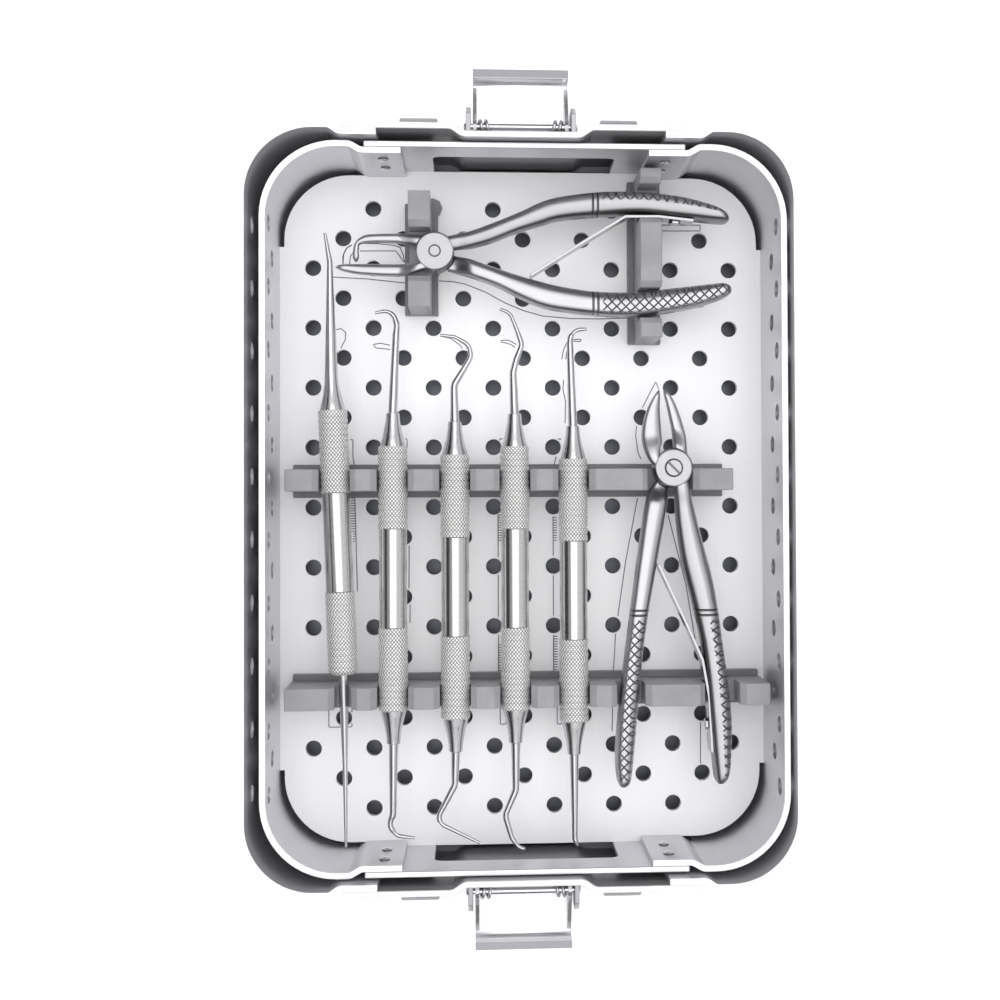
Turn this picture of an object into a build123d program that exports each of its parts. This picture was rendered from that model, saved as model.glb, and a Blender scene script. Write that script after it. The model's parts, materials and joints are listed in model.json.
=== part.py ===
"""Dental instrument cassette: an aluminium case with a sprung latch at each end, a perforated
insert tray standing in it, four silicone racks pegged to the tray, and the instruments they hold.
Millimetres, +Z up, +Y towards the rear latch, origin on the ground under the middle of the case."""

import os
from math import atan2, cos, degrees, radians, sin

from build123d import *

os.makedirs("parts", exist_ok=True)

# Sheet and shared clearances
sheet = 2.0  # aluminium sheet of both boxes
rivet_clearance = 0.05  # radial, round a rivet's shank
seat_gap = 0.25  # between a soft rack or a notch and the steel in it
running_clearance = 0.05  # radial, where something turns on a pin
corner_clearance = 0.7  # a floor's corner radius over that of the wall round it

# Outer case
case_width = 175.0
case_length = 239.0
case_corner = 23.0
case_rim = 49.0
case_bottom = 3.0  # underside of the walls, above the ground
case_end_set = 8.8  # from the start of a round corner to the end plate's edge
case_lap = 10.5  # how far the band runs in behind the end plate
case_joggle = 3.0  # length of the set in the band before the lap
recess_half = 18.2  # half width of the flat that the latch is riveted to
recess_run = 3.0
recess_depth = 2.5

# Insert tray
tray_side_play = 2.5  # mean gap to the case along each side
tray_end_play = 0.3  # gap to the latch recess at each end
tray_corner = 24.0  # outside radius
tray_height = 40.0  # wall height, feet to rim
tray_floor_drop = 30.0  # rim to floor
tray_end_set = 8.3
tray_lap = 11.7
tray_joggle = 3.5
tray_x = 1.3  # the tray lies this far off the middle of the case
lap_gap = 1.0  # between an end plate's edge and the joggle beside it
window_margin = 21.2  # end plate's edge to its finger window
window_below_rim = 11.5
window_height = 24.5
window_corner = 3.0
floor_setback = 1.5  # floor edge to wall at the round corners
floor_corner_set = 3.7  # from a round corner to where the floor touches the side wall

# Perforation
hole_radius = 2.7
hole_sides = 6
hole_pitch = 10.0
hole_margin = 8.0  # least distance of a hole's centre from the floor's edge
wall_pitch = 20.0
tray_row_depths = (7.0, 14.0)  # below the rim; the second row has one hole less
case_row_depth = 14.5

# Corner rivets
rivet_sides = 6
rivet_radius = 2.4
rivet_dome = 1.1
rivet_taper = 35
tray_rivet_inset = 5.7  # from the end plate's edge
tray_rivet_depths = (7.0, 18.0)  # below the rim
case_rivet_inset = 5.2
case_rivet_depths = (11.0, 28.0)

# Corner feet
foot_inset = 22.5  # end plate's edge to the middle of the foot's pad
foot_width = 12.5
foot_reach = 9.0
foot_height = 24.0
foot_wing = 7.7
foot_wing_reach = 5.0
foot_sole = 12.0  # how far the foot runs in under the floor

# Latches
latch_pin_radius = 1.0
latch_pin_head = 0.7
latch_hole_sides = 8
pin_sides = 12
latch_pin_below_rim = 10.0
latch_ear_gap = 31.8  # between the bracket's ears
bracket_sheet = 1.5
bracket_reach = 9.8
bracket_height = 19.0
bracket_rivet_radius = 2.0
bracket_rivet_dome = 0.6
latch_plate_width = 30.4
latch_sheet = 1.2
latch_reach = 18.3  # pin to the end of the lip
latch_drop = 3.2  # pin centre to the top of the plate
latch_lip_rise = 4.2
latch_lip_flange = 2.4
cheek_radius = 2.3
spring_wire = 1.0
spring_mean_radius = 1.85
spring_pitch = 2.0
spring_turns = 2
spring_steps = 8  # straight runs in one turn
spring_inner_half = 9.2  # middle of the latch to the inner end of a coil

# Racks: base strip, upright blocks, and pegs through the floor
rack_base_width = 11.0
rack_base_height = 3.0
rack_block_width = 7.0
rack_height = 22.0
rack_mouth = 1.9  # chamfer each side of a notch's mouth
notch_sides = 8
peg_radius = 2.2
peg_head_radius = 3.1
peg_head_length = 2.0

# Hand instruments
handle_sides = 10
tip_sides = 5
axis_height = 16.0  # instrument axes above the tray floor
handle_length = 84.6
handle_smooth_length = 31.4
knurl_radius = 4.7
smooth_radius = 4.45
ferrule_length = 10.8
ferrule_end_radius = 2.1
spigot_radius = 2.6
spigot_length = 5.0
glue_line = 0.05
shank_radius = 1.3
tip_radius = 0.5

# Forceps
joint_radius = 6.2
joint_sides = 14
joint_height = 8.0
joint_face_gap = 0.05  # half the slip between the two halves
joint_side_gap = 0.35
forceps_thickness = 10.0
jaw_thickness = 4.6
pivot_radius = 2.0
pivot_head_radius = 3.4
leaf_thickness = 0.9
leaf_width = 6.0
leaf_rivet_radius = 1.2
leaf_rivet_share = 0.5  # its place along the leaf's first run

# Room for which the tools' places and reaches were laid out; they follow the tray from there
layout_width = 162.0
layout_length = 225.4

# Worked-out planes and faces
tray_foot = case_bottom + sheet
tray_rim = tray_foot + tray_height
floor_top = tray_rim - tray_floor_drop
axis_z = floor_top + axis_height
case_half_length = case_length / 2
case_end_half = case_width / 2 - case_corner - case_end_set
tray_half_width = case_width / 2 - sheet - tray_side_play
tray_half_length = case_half_length - sheet - recess_depth - tray_end_play
tray_inner_width = 2 * (tray_half_width - sheet)
tray_inner_length = 2 * (tray_half_length - sheet)
tray_end_half = tray_half_width - tray_corner - tray_end_set
tray_left = tray_x - tray_inner_width / 2
tray_right = tray_x + tray_inner_width / 2
tray_rear = tray_inner_length / 2
spread_x = tray_inner_width / layout_width
spread_y = tray_inner_length / layout_length
foot_centre = case_end_half - foot_inset
recess_face = case_half_length - recess_depth
bracket_face = recess_face + bracket_sheet
pin_y = bracket_face + cheek_radius + seat_gap
pin_z = case_rim - latch_pin_below_rim


def save(piece, name):
    """Labels a finished piece and writes it."""
    piece.label = name
    export_step(piece, f"parts/{name}.step")


def row(count, pitch):
    """Places along a centred row."""
    return [(i - (count - 1) / 2) * pitch for i in range(count)]


# ---------------------------------------------------------------- sheet-metal boxes


def side_band(half_width, half_length, corner, low, high, lap_half, end_half, joggle, lap_low, rows):
    """Right-hand C-shaped wall: long side, two round corners, ends set in to lap the end plates.
    Each row of holes is its depth below the rim and how many holes it lacks of a full row."""
    lap_face = half_length - sheet
    full_row = int(2 * (half_length - corner) / wall_pitch) + 1
    joggle_in = end_half + lap_gap
    joggle_out = joggle_in + joggle
    upper = [(lap_half, lap_face), (joggle_in, lap_face), (joggle_out, half_length), (half_width, half_length)]
    lower = [(x, -y) for x, y in reversed(upper)]
    with BuildPart() as band:
        with BuildSketch(Plane.XY.offset(low)):
            with BuildLine():
                outside = FilletPolyline(*upper, *lower, radius=[0, 0, corner, corner, 0, 0])
                offset(outside, amount=sheet, side=Side.RIGHT, kind=Kind.INTERSECTION)
            make_face()
        extrude(amount=high - low)
        for end in (1, -1):
            with BuildSketch(Plane.XZ):
                with Locations(((lap_half + joggle_out) / 2, (low + lap_low) / 2 - 1)):
                    Rectangle(joggle_out - lap_half + sheet, lap_low - low + 2)
            extrude(amount=-end * (half_length + 1), mode=Mode.SUBTRACT)
        for depth, fewer in rows:
            with BuildSketch(Plane.YZ):
                with Locations(*[(y, high - depth) for y in row(full_row - fewer, wall_pitch)]):
                    RegularPolygon(hole_radius, hole_sides, major_radius=False)
            extrude(amount=half_width + 1, mode=Mode.SUBTRACT)
    return band.part


def tray_end():
    """Rear end plate of the tray, with its finger window."""
    with BuildPart() as plate:
        with BuildSketch(Plane.XY.offset(tray_foot)):
            with Locations((0, tray_half_length - sheet / 2)):
                Rectangle(2 * tray_end_half, sheet)
        extrude(amount=tray_height)
        with BuildSketch(Plane.XZ):
            with Locations((0, tray_rim - window_below_rim - window_height / 2)):
                RectangleRounded(2 * (tray_end_half - window_margin), window_height, window_corner)
        extrude(amount=-(tray_half_length + 1), mode=Mode.SUBTRACT)
    return plate.part


def case_end():
    """Rear end plate of the case: flush with the bands, set in at the middle for the latch."""
    out = recess_half + recess_run
    points = [
        (-case_end_half, case_half_length),
        (-out, case_half_length),
        (-recess_half, recess_face),
        (recess_half, recess_face),
        (out, case_half_length),
        (case_end_half, case_half_length),
    ]
    with BuildPart() as plate:
        with BuildSketch(Plane.XY.offset(case_bottom)):
            with BuildLine():
                outside = Polyline(*points)
                offset(outside, amount=sheet, side=Side.RIGHT, kind=Kind.INTERSECTION)
            make_face()
        extrude(amount=case_rim - case_bottom)
    return plate.part


def corner_rivets(half_x, face, out, rim, depths):
    """The rivet heads of one box, two at each corner, seated on a face that looks out or in."""
    with BuildPart() as rivets:
        for x in (half_x, -half_x):
            for depth in depths:
                with BuildSketch(Plane((x, face, rim - depth), x_dir=(1, 0, 0), z_dir=(0, out, 0))):
                    RegularPolygon(rivet_radius, rivet_sides)
                extrude(amount=rivet_dome, taper=rivet_taper)
        mirror(about=Plane.XZ)
    return rivets.part


# Tray
tray_band = side_band(
    tray_half_width, tray_half_length, tray_corner, tray_foot, tray_rim, tray_end_half - tray_lap,
    tray_end_half, tray_joggle, floor_top, [(depth, fewer) for fewer, depth in enumerate(tray_row_depths)],
)
save(Pos(tray_x, 0, 0) * tray_band, "tray_band_right")
save(Pos(tray_x, 0, 0) * mirror(tray_band, about=Plane.YZ), "tray_band_left")
tray_end_plate = tray_end()
save(Pos(tray_x, 0, 0) * tray_end_plate, "tray_end_rear")
save(Pos(tray_x, 0, 0) * mirror(tray_end_plate, about=Plane.XZ), "tray_end_front")
save(
    Pos(tray_x, 0, 0)
    * corner_rivets(
        tray_end_half - tray_rivet_inset, tray_half_length - 2 * sheet, -1, tray_rim, tray_rivet_depths
    ),
    "tray_rivets",
)

floor_columns = int((tray_inner_width / 2 - hole_margin) / hole_pitch)  # each side of the middle one
floor_rows = int((tray_inner_length / 2 - hole_margin) / hole_pitch)
floor_holes = [
    (i * hole_pitch, j * hole_pitch)
    for i in range(-floor_columns, floor_columns + 1)
    for j in range(-floor_rows, floor_rows + 1)
    if (i - j) % 2 and not (abs(i) == floor_columns and abs(j) == floor_rows)
]
with BuildPart() as tray_floor:
    with BuildSketch(Plane((tray_x, 0, floor_top - sheet))):
        RectangleRounded(
            tray_inner_width - 2 * floor_setback, tray_inner_length - 2 * floor_setback, tray_corner - sheet
        )
        Rectangle(tray_inner_width, 2 * (tray_half_length - tray_corner - floor_corner_set))
        Rectangle(2 * tray_end_half, tray_inner_length)
        with Locations(*floor_holes):
            RegularPolygon(hole_radius, hole_sides, major_radius=False, mode=Mode.SUBTRACT)
    extrude(amount=sheet)
save(tray_floor.part, "tray_floor")

# Case
case_band = side_band(
    case_width / 2, case_half_length, case_corner, case_bottom, case_rim, case_end_half - case_lap,
    case_end_half, case_joggle, tray_foot, [(case_row_depth, 0)],
)
save(case_band, "case_band_right")
save(mirror(case_band, about=Plane.YZ), "case_band_left")


def bracket_rivet_places():
    """Rivets of a latch bracket, in the plane of the end plate."""
    level = pin_z - bracket_height * 0.55
    return [(s * recess_half * 0.6, level) for s in (1, -1)]


case_end_plate = case_end()
save(case_end_plate, "case_end_rear")
save(mirror(case_end_plate, about=Plane.XZ), "case_end_front")
save(
    corner_rivets(case_end_half - case_rivet_inset, case_half_length, 1, case_rim, case_rivet_depths),
    "case_rivets",
)

with BuildPart() as case_floor:
    with BuildSketch(Plane.XY.offset(case_bottom)):
        RectangleRounded(
            case_width - 2 * sheet, case_length - 2 * sheet, case_corner - sheet + corner_clearance
        )
        for end in (1, -1):
            with Locations((0, end * (case_half_length - sheet))):
                Rectangle(2 * (recess_half + recess_run) + 2 * sheet, 2 * recess_depth, mode=Mode.SUBTRACT)
    extrude(amount=sheet)
save(case_floor.part, "case_floor")

# Feet: an upright pad and wing outside the end plate, and a sole under the floor
with BuildPart() as feet:
    for reach, low_x, width in (
        (foot_reach, foot_centre - foot_width / 2, foot_width),
        (foot_wing_reach, foot_centre + foot_width / 2, foot_wing),
    ):
        with BuildSketch(Plane.XY):
            with Locations((low_x + width / 2, case_half_length + reach / 2)):
                Rectangle(width, reach)
        extrude(amount=foot_height)
    with BuildSketch(Plane.XY):
        with Locations((foot_centre + foot_wing / 2, case_half_length - foot_sole / 2)):
            Rectangle(foot_width + foot_wing, foot_sole)
    extrude(amount=case_bottom)
    outer_edges = feet.edges().filter_by(Axis.X).group_by(Axis.Z)[-1]
    chamfer(outer_edges.filter_by(lambda e: e.center().Y > case_half_length + 1), 1.2)
    mirror(about=Plane.YZ)
    mirror(about=Plane.XZ)
save(feet.part, "case_feet")

# ---------------------------------------------------------------- latches


def latch_bracket():
    """U-shaped bracket: a base riveted to the recess, and two ears that carry the pin."""
    ear_outer = latch_ear_gap / 2 + bracket_sheet
    top = pin_z + latch_pin_radius + 3.0
    bottom = top - bracket_height
    ear = [
        (recess_face, bottom),
        (bracket_face + 1.0, bottom),
        (recess_face + bracket_reach, pin_z - 4.5),
        (recess_face + bracket_reach, pin_z + 1.5),
        (recess_face + bracket_reach - 2.5, top),
        (recess_face, top),
    ]
    with BuildPart() as bracket:
        with BuildSketch(Plane.YZ.offset(-ear_outer)):
            Polygon(*ear, align=None)
        extrude(amount=2 * ear_outer)
        with BuildSketch(Plane.YZ.offset(-latch_ear_gap / 2)):
            Polygon(
                (bracket_face, bottom - 1),
                (recess_face + bracket_reach + 1, bottom - 1),
                (recess_face + bracket_reach + 1, top + 1),
                (bracket_face, top + 1),
                align=None,
            )
        extrude(amount=latch_ear_gap, mode=Mode.SUBTRACT)
        with BuildSketch(Plane.XY.offset(pin_z - 1.0)):
            with Locations((0, recess_face + bracket_sheet / 2)):
                Rectangle(latch_ear_gap * 0.72, 4 * bracket_sheet)
        extrude(amount=top - pin_z + 2, mode=Mode.SUBTRACT)
        with BuildSketch(Plane.YZ.offset(-ear_outer)):
            with Locations((pin_y, pin_z)):
                RegularPolygon(latch_pin_radius + running_clearance, latch_hole_sides, major_radius=False)
        extrude(amount=2 * ear_outer, mode=Mode.SUBTRACT)
    return bracket.part


def latch_plate():
    """Latch plate lying open: a flat leaf with a cheek each side and a lip curled up at its end."""
    top = pin_z - latch_drop
    inner = bracket_face + seat_gap + 0.4
    outer = pin_y + latch_reach
    cheek_end = outer - 5.0
    with BuildPart() as plate:
        with BuildSketch(Plane.YZ.offset(-latch_plate_width / 2)):
            with BuildLine():
                under = FilletPolyline(
                    (inner, top - latch_sheet),
                    (outer - latch_lip_flange, top - latch_sheet),
                    (outer - latch_lip_flange + 0.6, top - latch_sheet + latch_lip_rise),
                    (outer, top - latch_sheet + latch_lip_rise + 0.6),
                    radius=[2.4, 0],
                )
                offset(under, amount=latch_sheet, side=Side.LEFT, kind=Kind.INTERSECTION)
            make_face()
        extrude(amount=latch_plate_width)
        for inside in (-latch_plate_width / 2, latch_plate_width / 2 - latch_sheet):
            with BuildSketch(Plane.YZ.offset(inside)):
                with Locations((pin_y, pin_z)):
                    RegularPolygon(cheek_radius, latch_hole_sides, major_radius=False)
                Polygon(
                    (pin_y - cheek_radius, pin_z),
                    (inner, top - latch_sheet),
                    (cheek_end, top - latch_sheet),
                    (cheek_end, top + 0.4),
                    (pin_y + cheek_radius + 1.5, pin_z + 1.2),
                    (pin_y, pin_z + cheek_radius),
                    align=None,
                )
            extrude(amount=latch_sheet)
        with BuildSketch(Plane.YZ.offset(-latch_plate_width / 2)):
            with Locations((pin_y, pin_z)):
                RegularPolygon(latch_pin_radius + running_clearance, latch_hole_sides, major_radius=False)
        extrude(amount=latch_plate_width, mode=Mode.SUBTRACT)
    return plate.part


def latch_pin():
    """Hinge pin with both ends peened over the ears."""
    half = latch_ear_gap / 2 + bracket_sheet
    with BuildPart() as pin:
        with BuildSketch(Plane.YZ.offset(-half)):
            with Locations((pin_y, pin_z)):
                RegularPolygon(latch_pin_radius, pin_sides)
        extrude(amount=2 * half)
        for start in (-half - latch_pin_head, half):
            with BuildSketch(Plane.YZ.offset(start)):
                with Locations((pin_y, pin_z)):
                    RegularPolygon(latch_pin_radius * 1.7, latch_hole_sides)
            extrude(amount=latch_pin_head)
    return pin.part


def latch_spring():
    """Double torsion spring: turns near each cheek, joined by a bar against the bracket."""
    bar_y = bracket_face + spring_wire / 2 + 0.05
    bar_z = pin_z - spring_mean_radius
    coil_end = spring_inner_half + spring_pitch * (spring_turns - 1) + spring_wire
    with BuildPart() as spring:
        for turn in range(spring_turns):
            with BuildSketch(Plane.YZ.offset(spring_inner_half + turn * spring_pitch)):
                with Locations((pin_y, pin_z)):
                    RegularPolygon(spring_mean_radius + spring_wire / 2, spring_steps)
                    RegularPolygon(spring_mean_radius - spring_wire / 2, spring_steps, mode=Mode.SUBTRACT)
            extrude(amount=spring_wire)
        mirror(about=Plane.YZ)
        with BuildSketch(Plane.YZ.offset(-coil_end)):
            with Locations(((pin_y + bar_y) / 2, bar_z)):
                Rectangle(pin_y - bar_y + spring_wire, spring_wire)
        extrude(amount=2 * coil_end)
        with BuildSketch(Plane.YZ.offset(-spring_inner_half)):
            with Locations((bar_y + spring_wire / 2 + pin_y, bar_z)):
                Rectangle(2 * pin_y, spring_wire + 1)
        extrude(amount=2 * spring_inner_half, mode=Mode.SUBTRACT)
    return spring.part


def bracket_rivets():
    """Heads of the two rivets that hold a bracket."""
    with BuildPart() as rivets:
        for x, z in bracket_rivet_places():
            with BuildSketch(Plane((x, bracket_face, z), x_dir=(1, 0, 0), z_dir=(0, 1, 0))):
                RegularPolygon(bracket_rivet_radius, rivet_sides)
            extrude(amount=bracket_rivet_dome, taper=rivet_taper)
    return rivets.part


for make, name in (
    (latch_bracket, "latch_bracket"),
    (latch_plate, "latch_plate"),
    (latch_pin, "latch_pin"),
    (latch_spring, "latch_spring"),
):
    rear = make()
    save(rear, name + "_rear")
    save(mirror(rear, about=Plane.XZ), name + "_front")

rear_rivets = bracket_rivets()
with BuildPart() as latch_rivets:
    add(rear_rivets)
    mirror(about=Plane.XZ)
save(latch_rivets.part, "latch_rivets")

# ---------------------------------------------------------------- what the racks hold

rack_middle_y = 8.7 * spread_y
rack_front_y = -60.6 * spread_y
pick_grip_gap = 3.7  # front rack's face to the end of the pick's handle
pick_y = rack_front_y + rack_block_width / 2 + pick_grip_gap + handle_length / 2

# Hand instruments: name, X and Y of the handle's middle, turn about Z in degrees
instruments = {
    "pick": (-58.9 * spread_x, pick_y, 2.2),
    "scaler": (-41.3 * spread_x, -22.7 * spread_y, 0.0),
    "probe": (-21.4 * spread_x, -25.5 * spread_y, 0.0),
    "curette": (-2.1 * spread_x, -22.9 * spread_y, 0.0),
    "hoe": (16.8 * spread_x, -26.9 * spread_y, 0.0),
}

# Working ends in each instrument's own frame: sideways, and outwards from the end of the ferrule
tips_rear = {
    "pick": [(1.0, 37.1), (-0.2, 46.5)],
    "scaler": [(1.1, 25.2), (1.4, 28.4), (0.4, 31.6), (-1.9, 33.0), (-5.6, 32.3)],
    "probe": [(-0.2, 11.9), (2.4, 16.1), (5.3, 20.9), (4.7, 24.8), (0.2, 27.4), (-4.7, 28.0)],
    "curette": [(-0.4, 13.2), (0.6, 17.4), (2.5, 22.3), (0.9, 27.1), (-1.3, 32.6), (-4.6, 33.9)],
    "hoe": [(-0.8, 26.3), (-0.8, 28.6), (0.9, 31.2), (4.8, 31.5)],
}
tips_front = {
    "pick": [(0.5, 16.5), (1.3, 44.3)],
    "scaler": [(0.2, 22.7), (1.6, 25.9), (-1.0, 29.4), (-6.8, 30.2)],
    "probe": [(0.3, 10.7), (5.7, 20.8), (4.6, 23.2), (-7.7, 29.4)],
    "curette": [(0.0, 15.2), (3.5, 23.2), (1.3, 30.6), (-1.0, 33.8), (-2.9, 34.2)],
    "hoe": [(-0.1, 27.3), (-1.0, 29.5)],
}
plain_neck = ("pick",)  # this one's front shank leaves the handle without a ferrule


def instrument_plane(name):
    """Horizontal plane through an instrument's axis: x sideways, y along the instrument."""
    x, y, turn = instruments[name]
    across = (cos(radians(turn)), sin(radians(turn)), 0)
    return Plane((x, y, axis_z), x_dir=across, z_dir=(0, 0, 1))


def handle(plane):
    """Handle: a plain waist between two grips, with a socket in each end."""
    with BuildPart() as grip:
        for radius, low, high in (
            (smooth_radius, -handle_length / 2, handle_length / 2),
            (knurl_radius, -handle_length / 2, -handle_smooth_length / 2),
            (knurl_radius, handle_smooth_length / 2, handle_length / 2),
        ):
            with BuildSketch(along_axis(plane, low)):
                RegularPolygon(radius, handle_sides)
            extrude(amount=high - low)
        for low in (-handle_length / 2, handle_length / 2 - spigot_length):
            with BuildSketch(along_axis(plane, low)):
                RegularPolygon(spigot_radius + glue_line, tip_sides)
            extrude(amount=spigot_length, mode=Mode.SUBTRACT)
    return grip.part


def along_axis(plane, distance):
    """Section plane across an instrument, that far along its own y."""
    return Plane(plane.origin + plane.y_dir * distance, x_dir=plane.z_dir, z_dir=plane.y_dir)


def working_end(plane, points, ferrule):
    """Spigot, ferrule cone and tapering bent shank; the plane's y points outwards."""
    start = handle_length / 2
    neck = start + ferrule
    neck_radius = ferrule_end_radius if ferrule > 2 else 1.3 * shank_radius
    route = [Vector(0, neck)] + [Vector(x, start + ferrule_length + y * spread_y) for x, y in points]
    with BuildPart() as tip:
        with BuildSketch(along_axis(plane, start - spigot_length)):
            RegularPolygon(spigot_radius, tip_sides)
        extrude(amount=spigot_length)
        for out, radius in ((0, smooth_radius - 0.2), (0.75, neck_radius + 0.6), (1, neck_radius)):
            with BuildSketch(along_axis(plane, start + out * ferrule)):
                RegularPolygon(radius, handle_sides)
        loft(ruled=True)
        for i, at in enumerate(route):
            arriving = (at - route[i - 1]).normalized() if i else Vector(0, 1)
            leaving = (route[i + 1] - at).normalized() if i + 1 < len(route) else arriving
            share = i / (len(route) - 1)
            middle = plane.from_local_coords(at)
            along = plane.from_local_coords(arriving + leaving) - plane.origin
            with BuildSketch(Plane(middle, x_dir=plane.z_dir, z_dir=along)):
                RegularPolygon(shank_radius + (tip_radius - shank_radius) * share, tip_sides)
        loft(ruled=True)
    return tip.part


for name in instruments:
    plane = instrument_plane(name)
    back = Plane(plane.origin, x_dir=-plane.x_dir, z_dir=plane.z_dir)
    save(handle(plane), name + "_handle")
    save(working_end(plane, tips_rear[name], ferrule_length), name + "_tip_rear")
    front_ferrule = 1.2 if name in plain_neck else ferrule_length
    save(working_end(back, tips_front[name], front_ferrule), name + "_tip_front")

# Pliers and forceps, each in its own frame: x along the handles, y towards the upper half's handle
band_pliers = {
    "reach": spread_x,
    "origin": (-27.6 * spread_x, 82.2 * spread_y),
    "turn": 0.0,
    "upper_handle": (
        [(4.0, 4.4), (11.3, 6.2), (21.0, 9.7), (27.6, 13.4), (33.9, 16.5), (40.4, 18.4), (53.4, 20.1),
         (66.4, 20.2), (79.5, 18.9), (89.0, 16.5), (94.8, 14.2)],
        [(95.6, 12.6), (94.6, 10.4), (80.0, 11.6), (67.0, 12.9), (54.0, 12.2), (40.6, 10.9), (34.0, 9.2),
         (21.0, 4.6), (11.3, 2.2), (4.0, 0.8)],
    ),
    "lower_handle": (
        [(4.0, -1.4), (11.3, -2.8), (21.0, -5.5), (27.4, -7.3), (40.3, -10.6), (53.2, -12.4), (66.2, -12.4),
         (79.3, -10.9), (94.6, -9.2)],
        [(96.6, -10.4), (95.6, -13.4), (89.0, -16.2), (79.7, -18.5), (66.6, -20.4), (53.5, -20.3),
         (40.4, -18.3), (33.9, -16.6), (27.6, -13.6), (21.0, -10.6), (11.3, -7.7), (4.0, -5.0)],
    ),
    "upper_jaw": (
        [(-2.0, -2.0), (-6.5, -3.4), (-10.6, -3.7), (-28.3, -3.8), (-31.2, -4.1)],
        [(-32.1, -5.1), (-29.3, -6.1), (-23.0, -7.2), (-10.6, -7.6), (-3.0, -5.9)],
    ),
    "lower_jaw": (
        [(-2.0, 5.9), (-9.1, 6.2), (-20.5, 5.9), (-23.9, 4.9), (-25.9, 2.6), (-26.5, -1.4), (-25.9, -3.0)],
        [(-24.9, -3.2), (-24.4, -1.4), (-24.4, 1.2), (-22.6, 3.0), (-9.1, 2.9), (-2.0, 1.6)],
    ),
    "leaf": [(84.0, 11.1), (72.5, 12.3), (61.5, 12.2), (48.7, 4.4), (30.5, -7.2)],
}
extraction_forceps = {
    "reach": spread_y,
    "origin": (49.2 * spread_x, 12.4 * spread_y),
    "turn": -90.0,
    "upper_handle": (
        [(4.0, 4.5), (10.4, 5.8), (29.9, 8.8), (42.9, 12.6), (55.9, 15.5), (68.8, 17.4), (81.8, 18.9),
         (94.7, 18.6), (101.0, 17.8)],
        [(102.4, 16.2), (102.0, 13.8), (95.0, 12.9), (82.0, 12.2), (69.0, 11.4), (56.0, 9.7), (43.0, 6.3),
         (29.9, 2.8), (10.4, 0.8), (4.0, -0.2)],
    ),
    "lower_handle": (
        [(4.0, -1.6), (10.4, -2.4), (29.8, -5.4), (55.6, -9.4), (81.3, -12.0), (94.2, -13.2), (102.2, -14.2)],
        [(103.4, -16.0), (102.0, -18.2), (94.1, -19.1), (81.3, -18.3), (68.4, -16.9), (42.7, -13.5),
         (29.8, -11.7), (10.4, -8.6), (4.0, -5.0)],
    ),
    "upper_jaw": (
        [(-2.0, -3.6), (-5.8, -4.2), (-8.6, -3.4), (-12.3, -3.5), (-18.7, -3.9), (-25.2, -3.8)],
        [(-25.6, -4.5), (-23.0, -6.2), (-19.0, -8.2), (-14.0, -9.6), (-8.0, -9.8), (-3.0, -8.0), (0.0, -5.4)],
    ),
    "lower_jaw": (
        [(0.0, 5.0), (-3.0, 5.4), (-9.0, 4.9), (-14.5, 3.5), (-19.5, 1.8), (-23.2, 0.0), (-25.6, -2.2)],
        [(-25.2, -2.9), (-19.8, -1.6), (-14.0, -0.4), (-9.0, 0.5), (-4.0, 1.0)],
    ),
    "leaf": [(92.0, 12.6), (74.0, 11.7), (62.0, 9.6), (51.0, 4.8), (31.0, -4.6)],
}


def reached(spec, points):
    """Points of a tool stretched lengthwise by its reach."""
    return [(x * spec["reach"], y) for x, y in points]


def forceps_half(spec, which):
    """One half: handle and jaw cross at a disc that takes half of the joint's height."""
    up = 1 if which == "upper" else -1
    plane = forceps_plane(spec)
    with BuildPart() as half:
        for blade, thickness in (("_handle", forceps_thickness), ("_jaw", jaw_thickness)):
            outer, inner = spec[which + blade]
            with BuildSketch(plane.offset(-thickness / 2)):
                with BuildLine():
                    Polyline(*reached(spec, outer + inner), close=True)
                make_face()
            extrude(amount=thickness)
        with BuildSketch(plane.offset(-joint_height / 2)):
            RegularPolygon(joint_radius, joint_sides)
        extrude(amount=joint_height)
        with BuildSketch(plane.offset(up * joint_face_gap)):
            RegularPolygon(joint_radius + joint_side_gap, joint_sides, major_radius=False)
        extrude(amount=-up * forceps_thickness, mode=Mode.SUBTRACT)
        with BuildSketch(plane.offset(-forceps_thickness)):
            RegularPolygon(pivot_radius + running_clearance, pin_sides, major_radius=False)
        extrude(amount=2 * forceps_thickness, mode=Mode.SUBTRACT)
        if which == "upper":
            with BuildSketch(leaf_rivet_plane(spec)):
                RegularPolygon(leaf_rivet_radius + rivet_clearance, rivet_sides)
            extrude(amount=3.0, mode=Mode.SUBTRACT)
    return half.part


def forceps_plane(spec):
    """Plane of the jaws' motion through the pivot."""
    turn = radians(spec["turn"])
    return Plane((*spec["origin"], axis_z), x_dir=(cos(turn), sin(turn), 0), z_dir=(0, 0, 1))


def leaf_rivet_plane(spec):
    """Plane at the rivet of the leaf spring, facing out through the handle."""
    (x0, y0), (x1, y1) = reached(spec, spec["leaf"][:2])
    x = x0 + (x1 - x0) * leaf_rivet_share
    y = y0 + (y1 - y0) * leaf_rivet_share
    flat = forceps_plane(spec) * Pos(x, y, 0) * Rot(0, 0, degrees(atan2(y0 - y1, x0 - x1)))
    return Plane(flat * Rot(-90, 0, 0))


def leaf_spring(spec):
    """Leaf spring along the upper half's handle, bent over to bear on the other handle."""
    with BuildPart() as leaf:
        with BuildSketch(forceps_plane(spec).offset(-leaf_width / 2)):
            with BuildLine():
                run = Polyline(*reached(spec, spec["leaf"]))
                offset(run, amount=leaf_thickness, side=Side.LEFT, kind=Kind.INTERSECTION)
            make_face()
        extrude(amount=leaf_width)
        with BuildSketch(leaf_rivet_plane(spec).offset(-3)):
            RegularPolygon(leaf_rivet_radius + rivet_clearance, rivet_sides)
        extrude(amount=6.0, mode=Mode.SUBTRACT)
    return leaf.part


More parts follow.
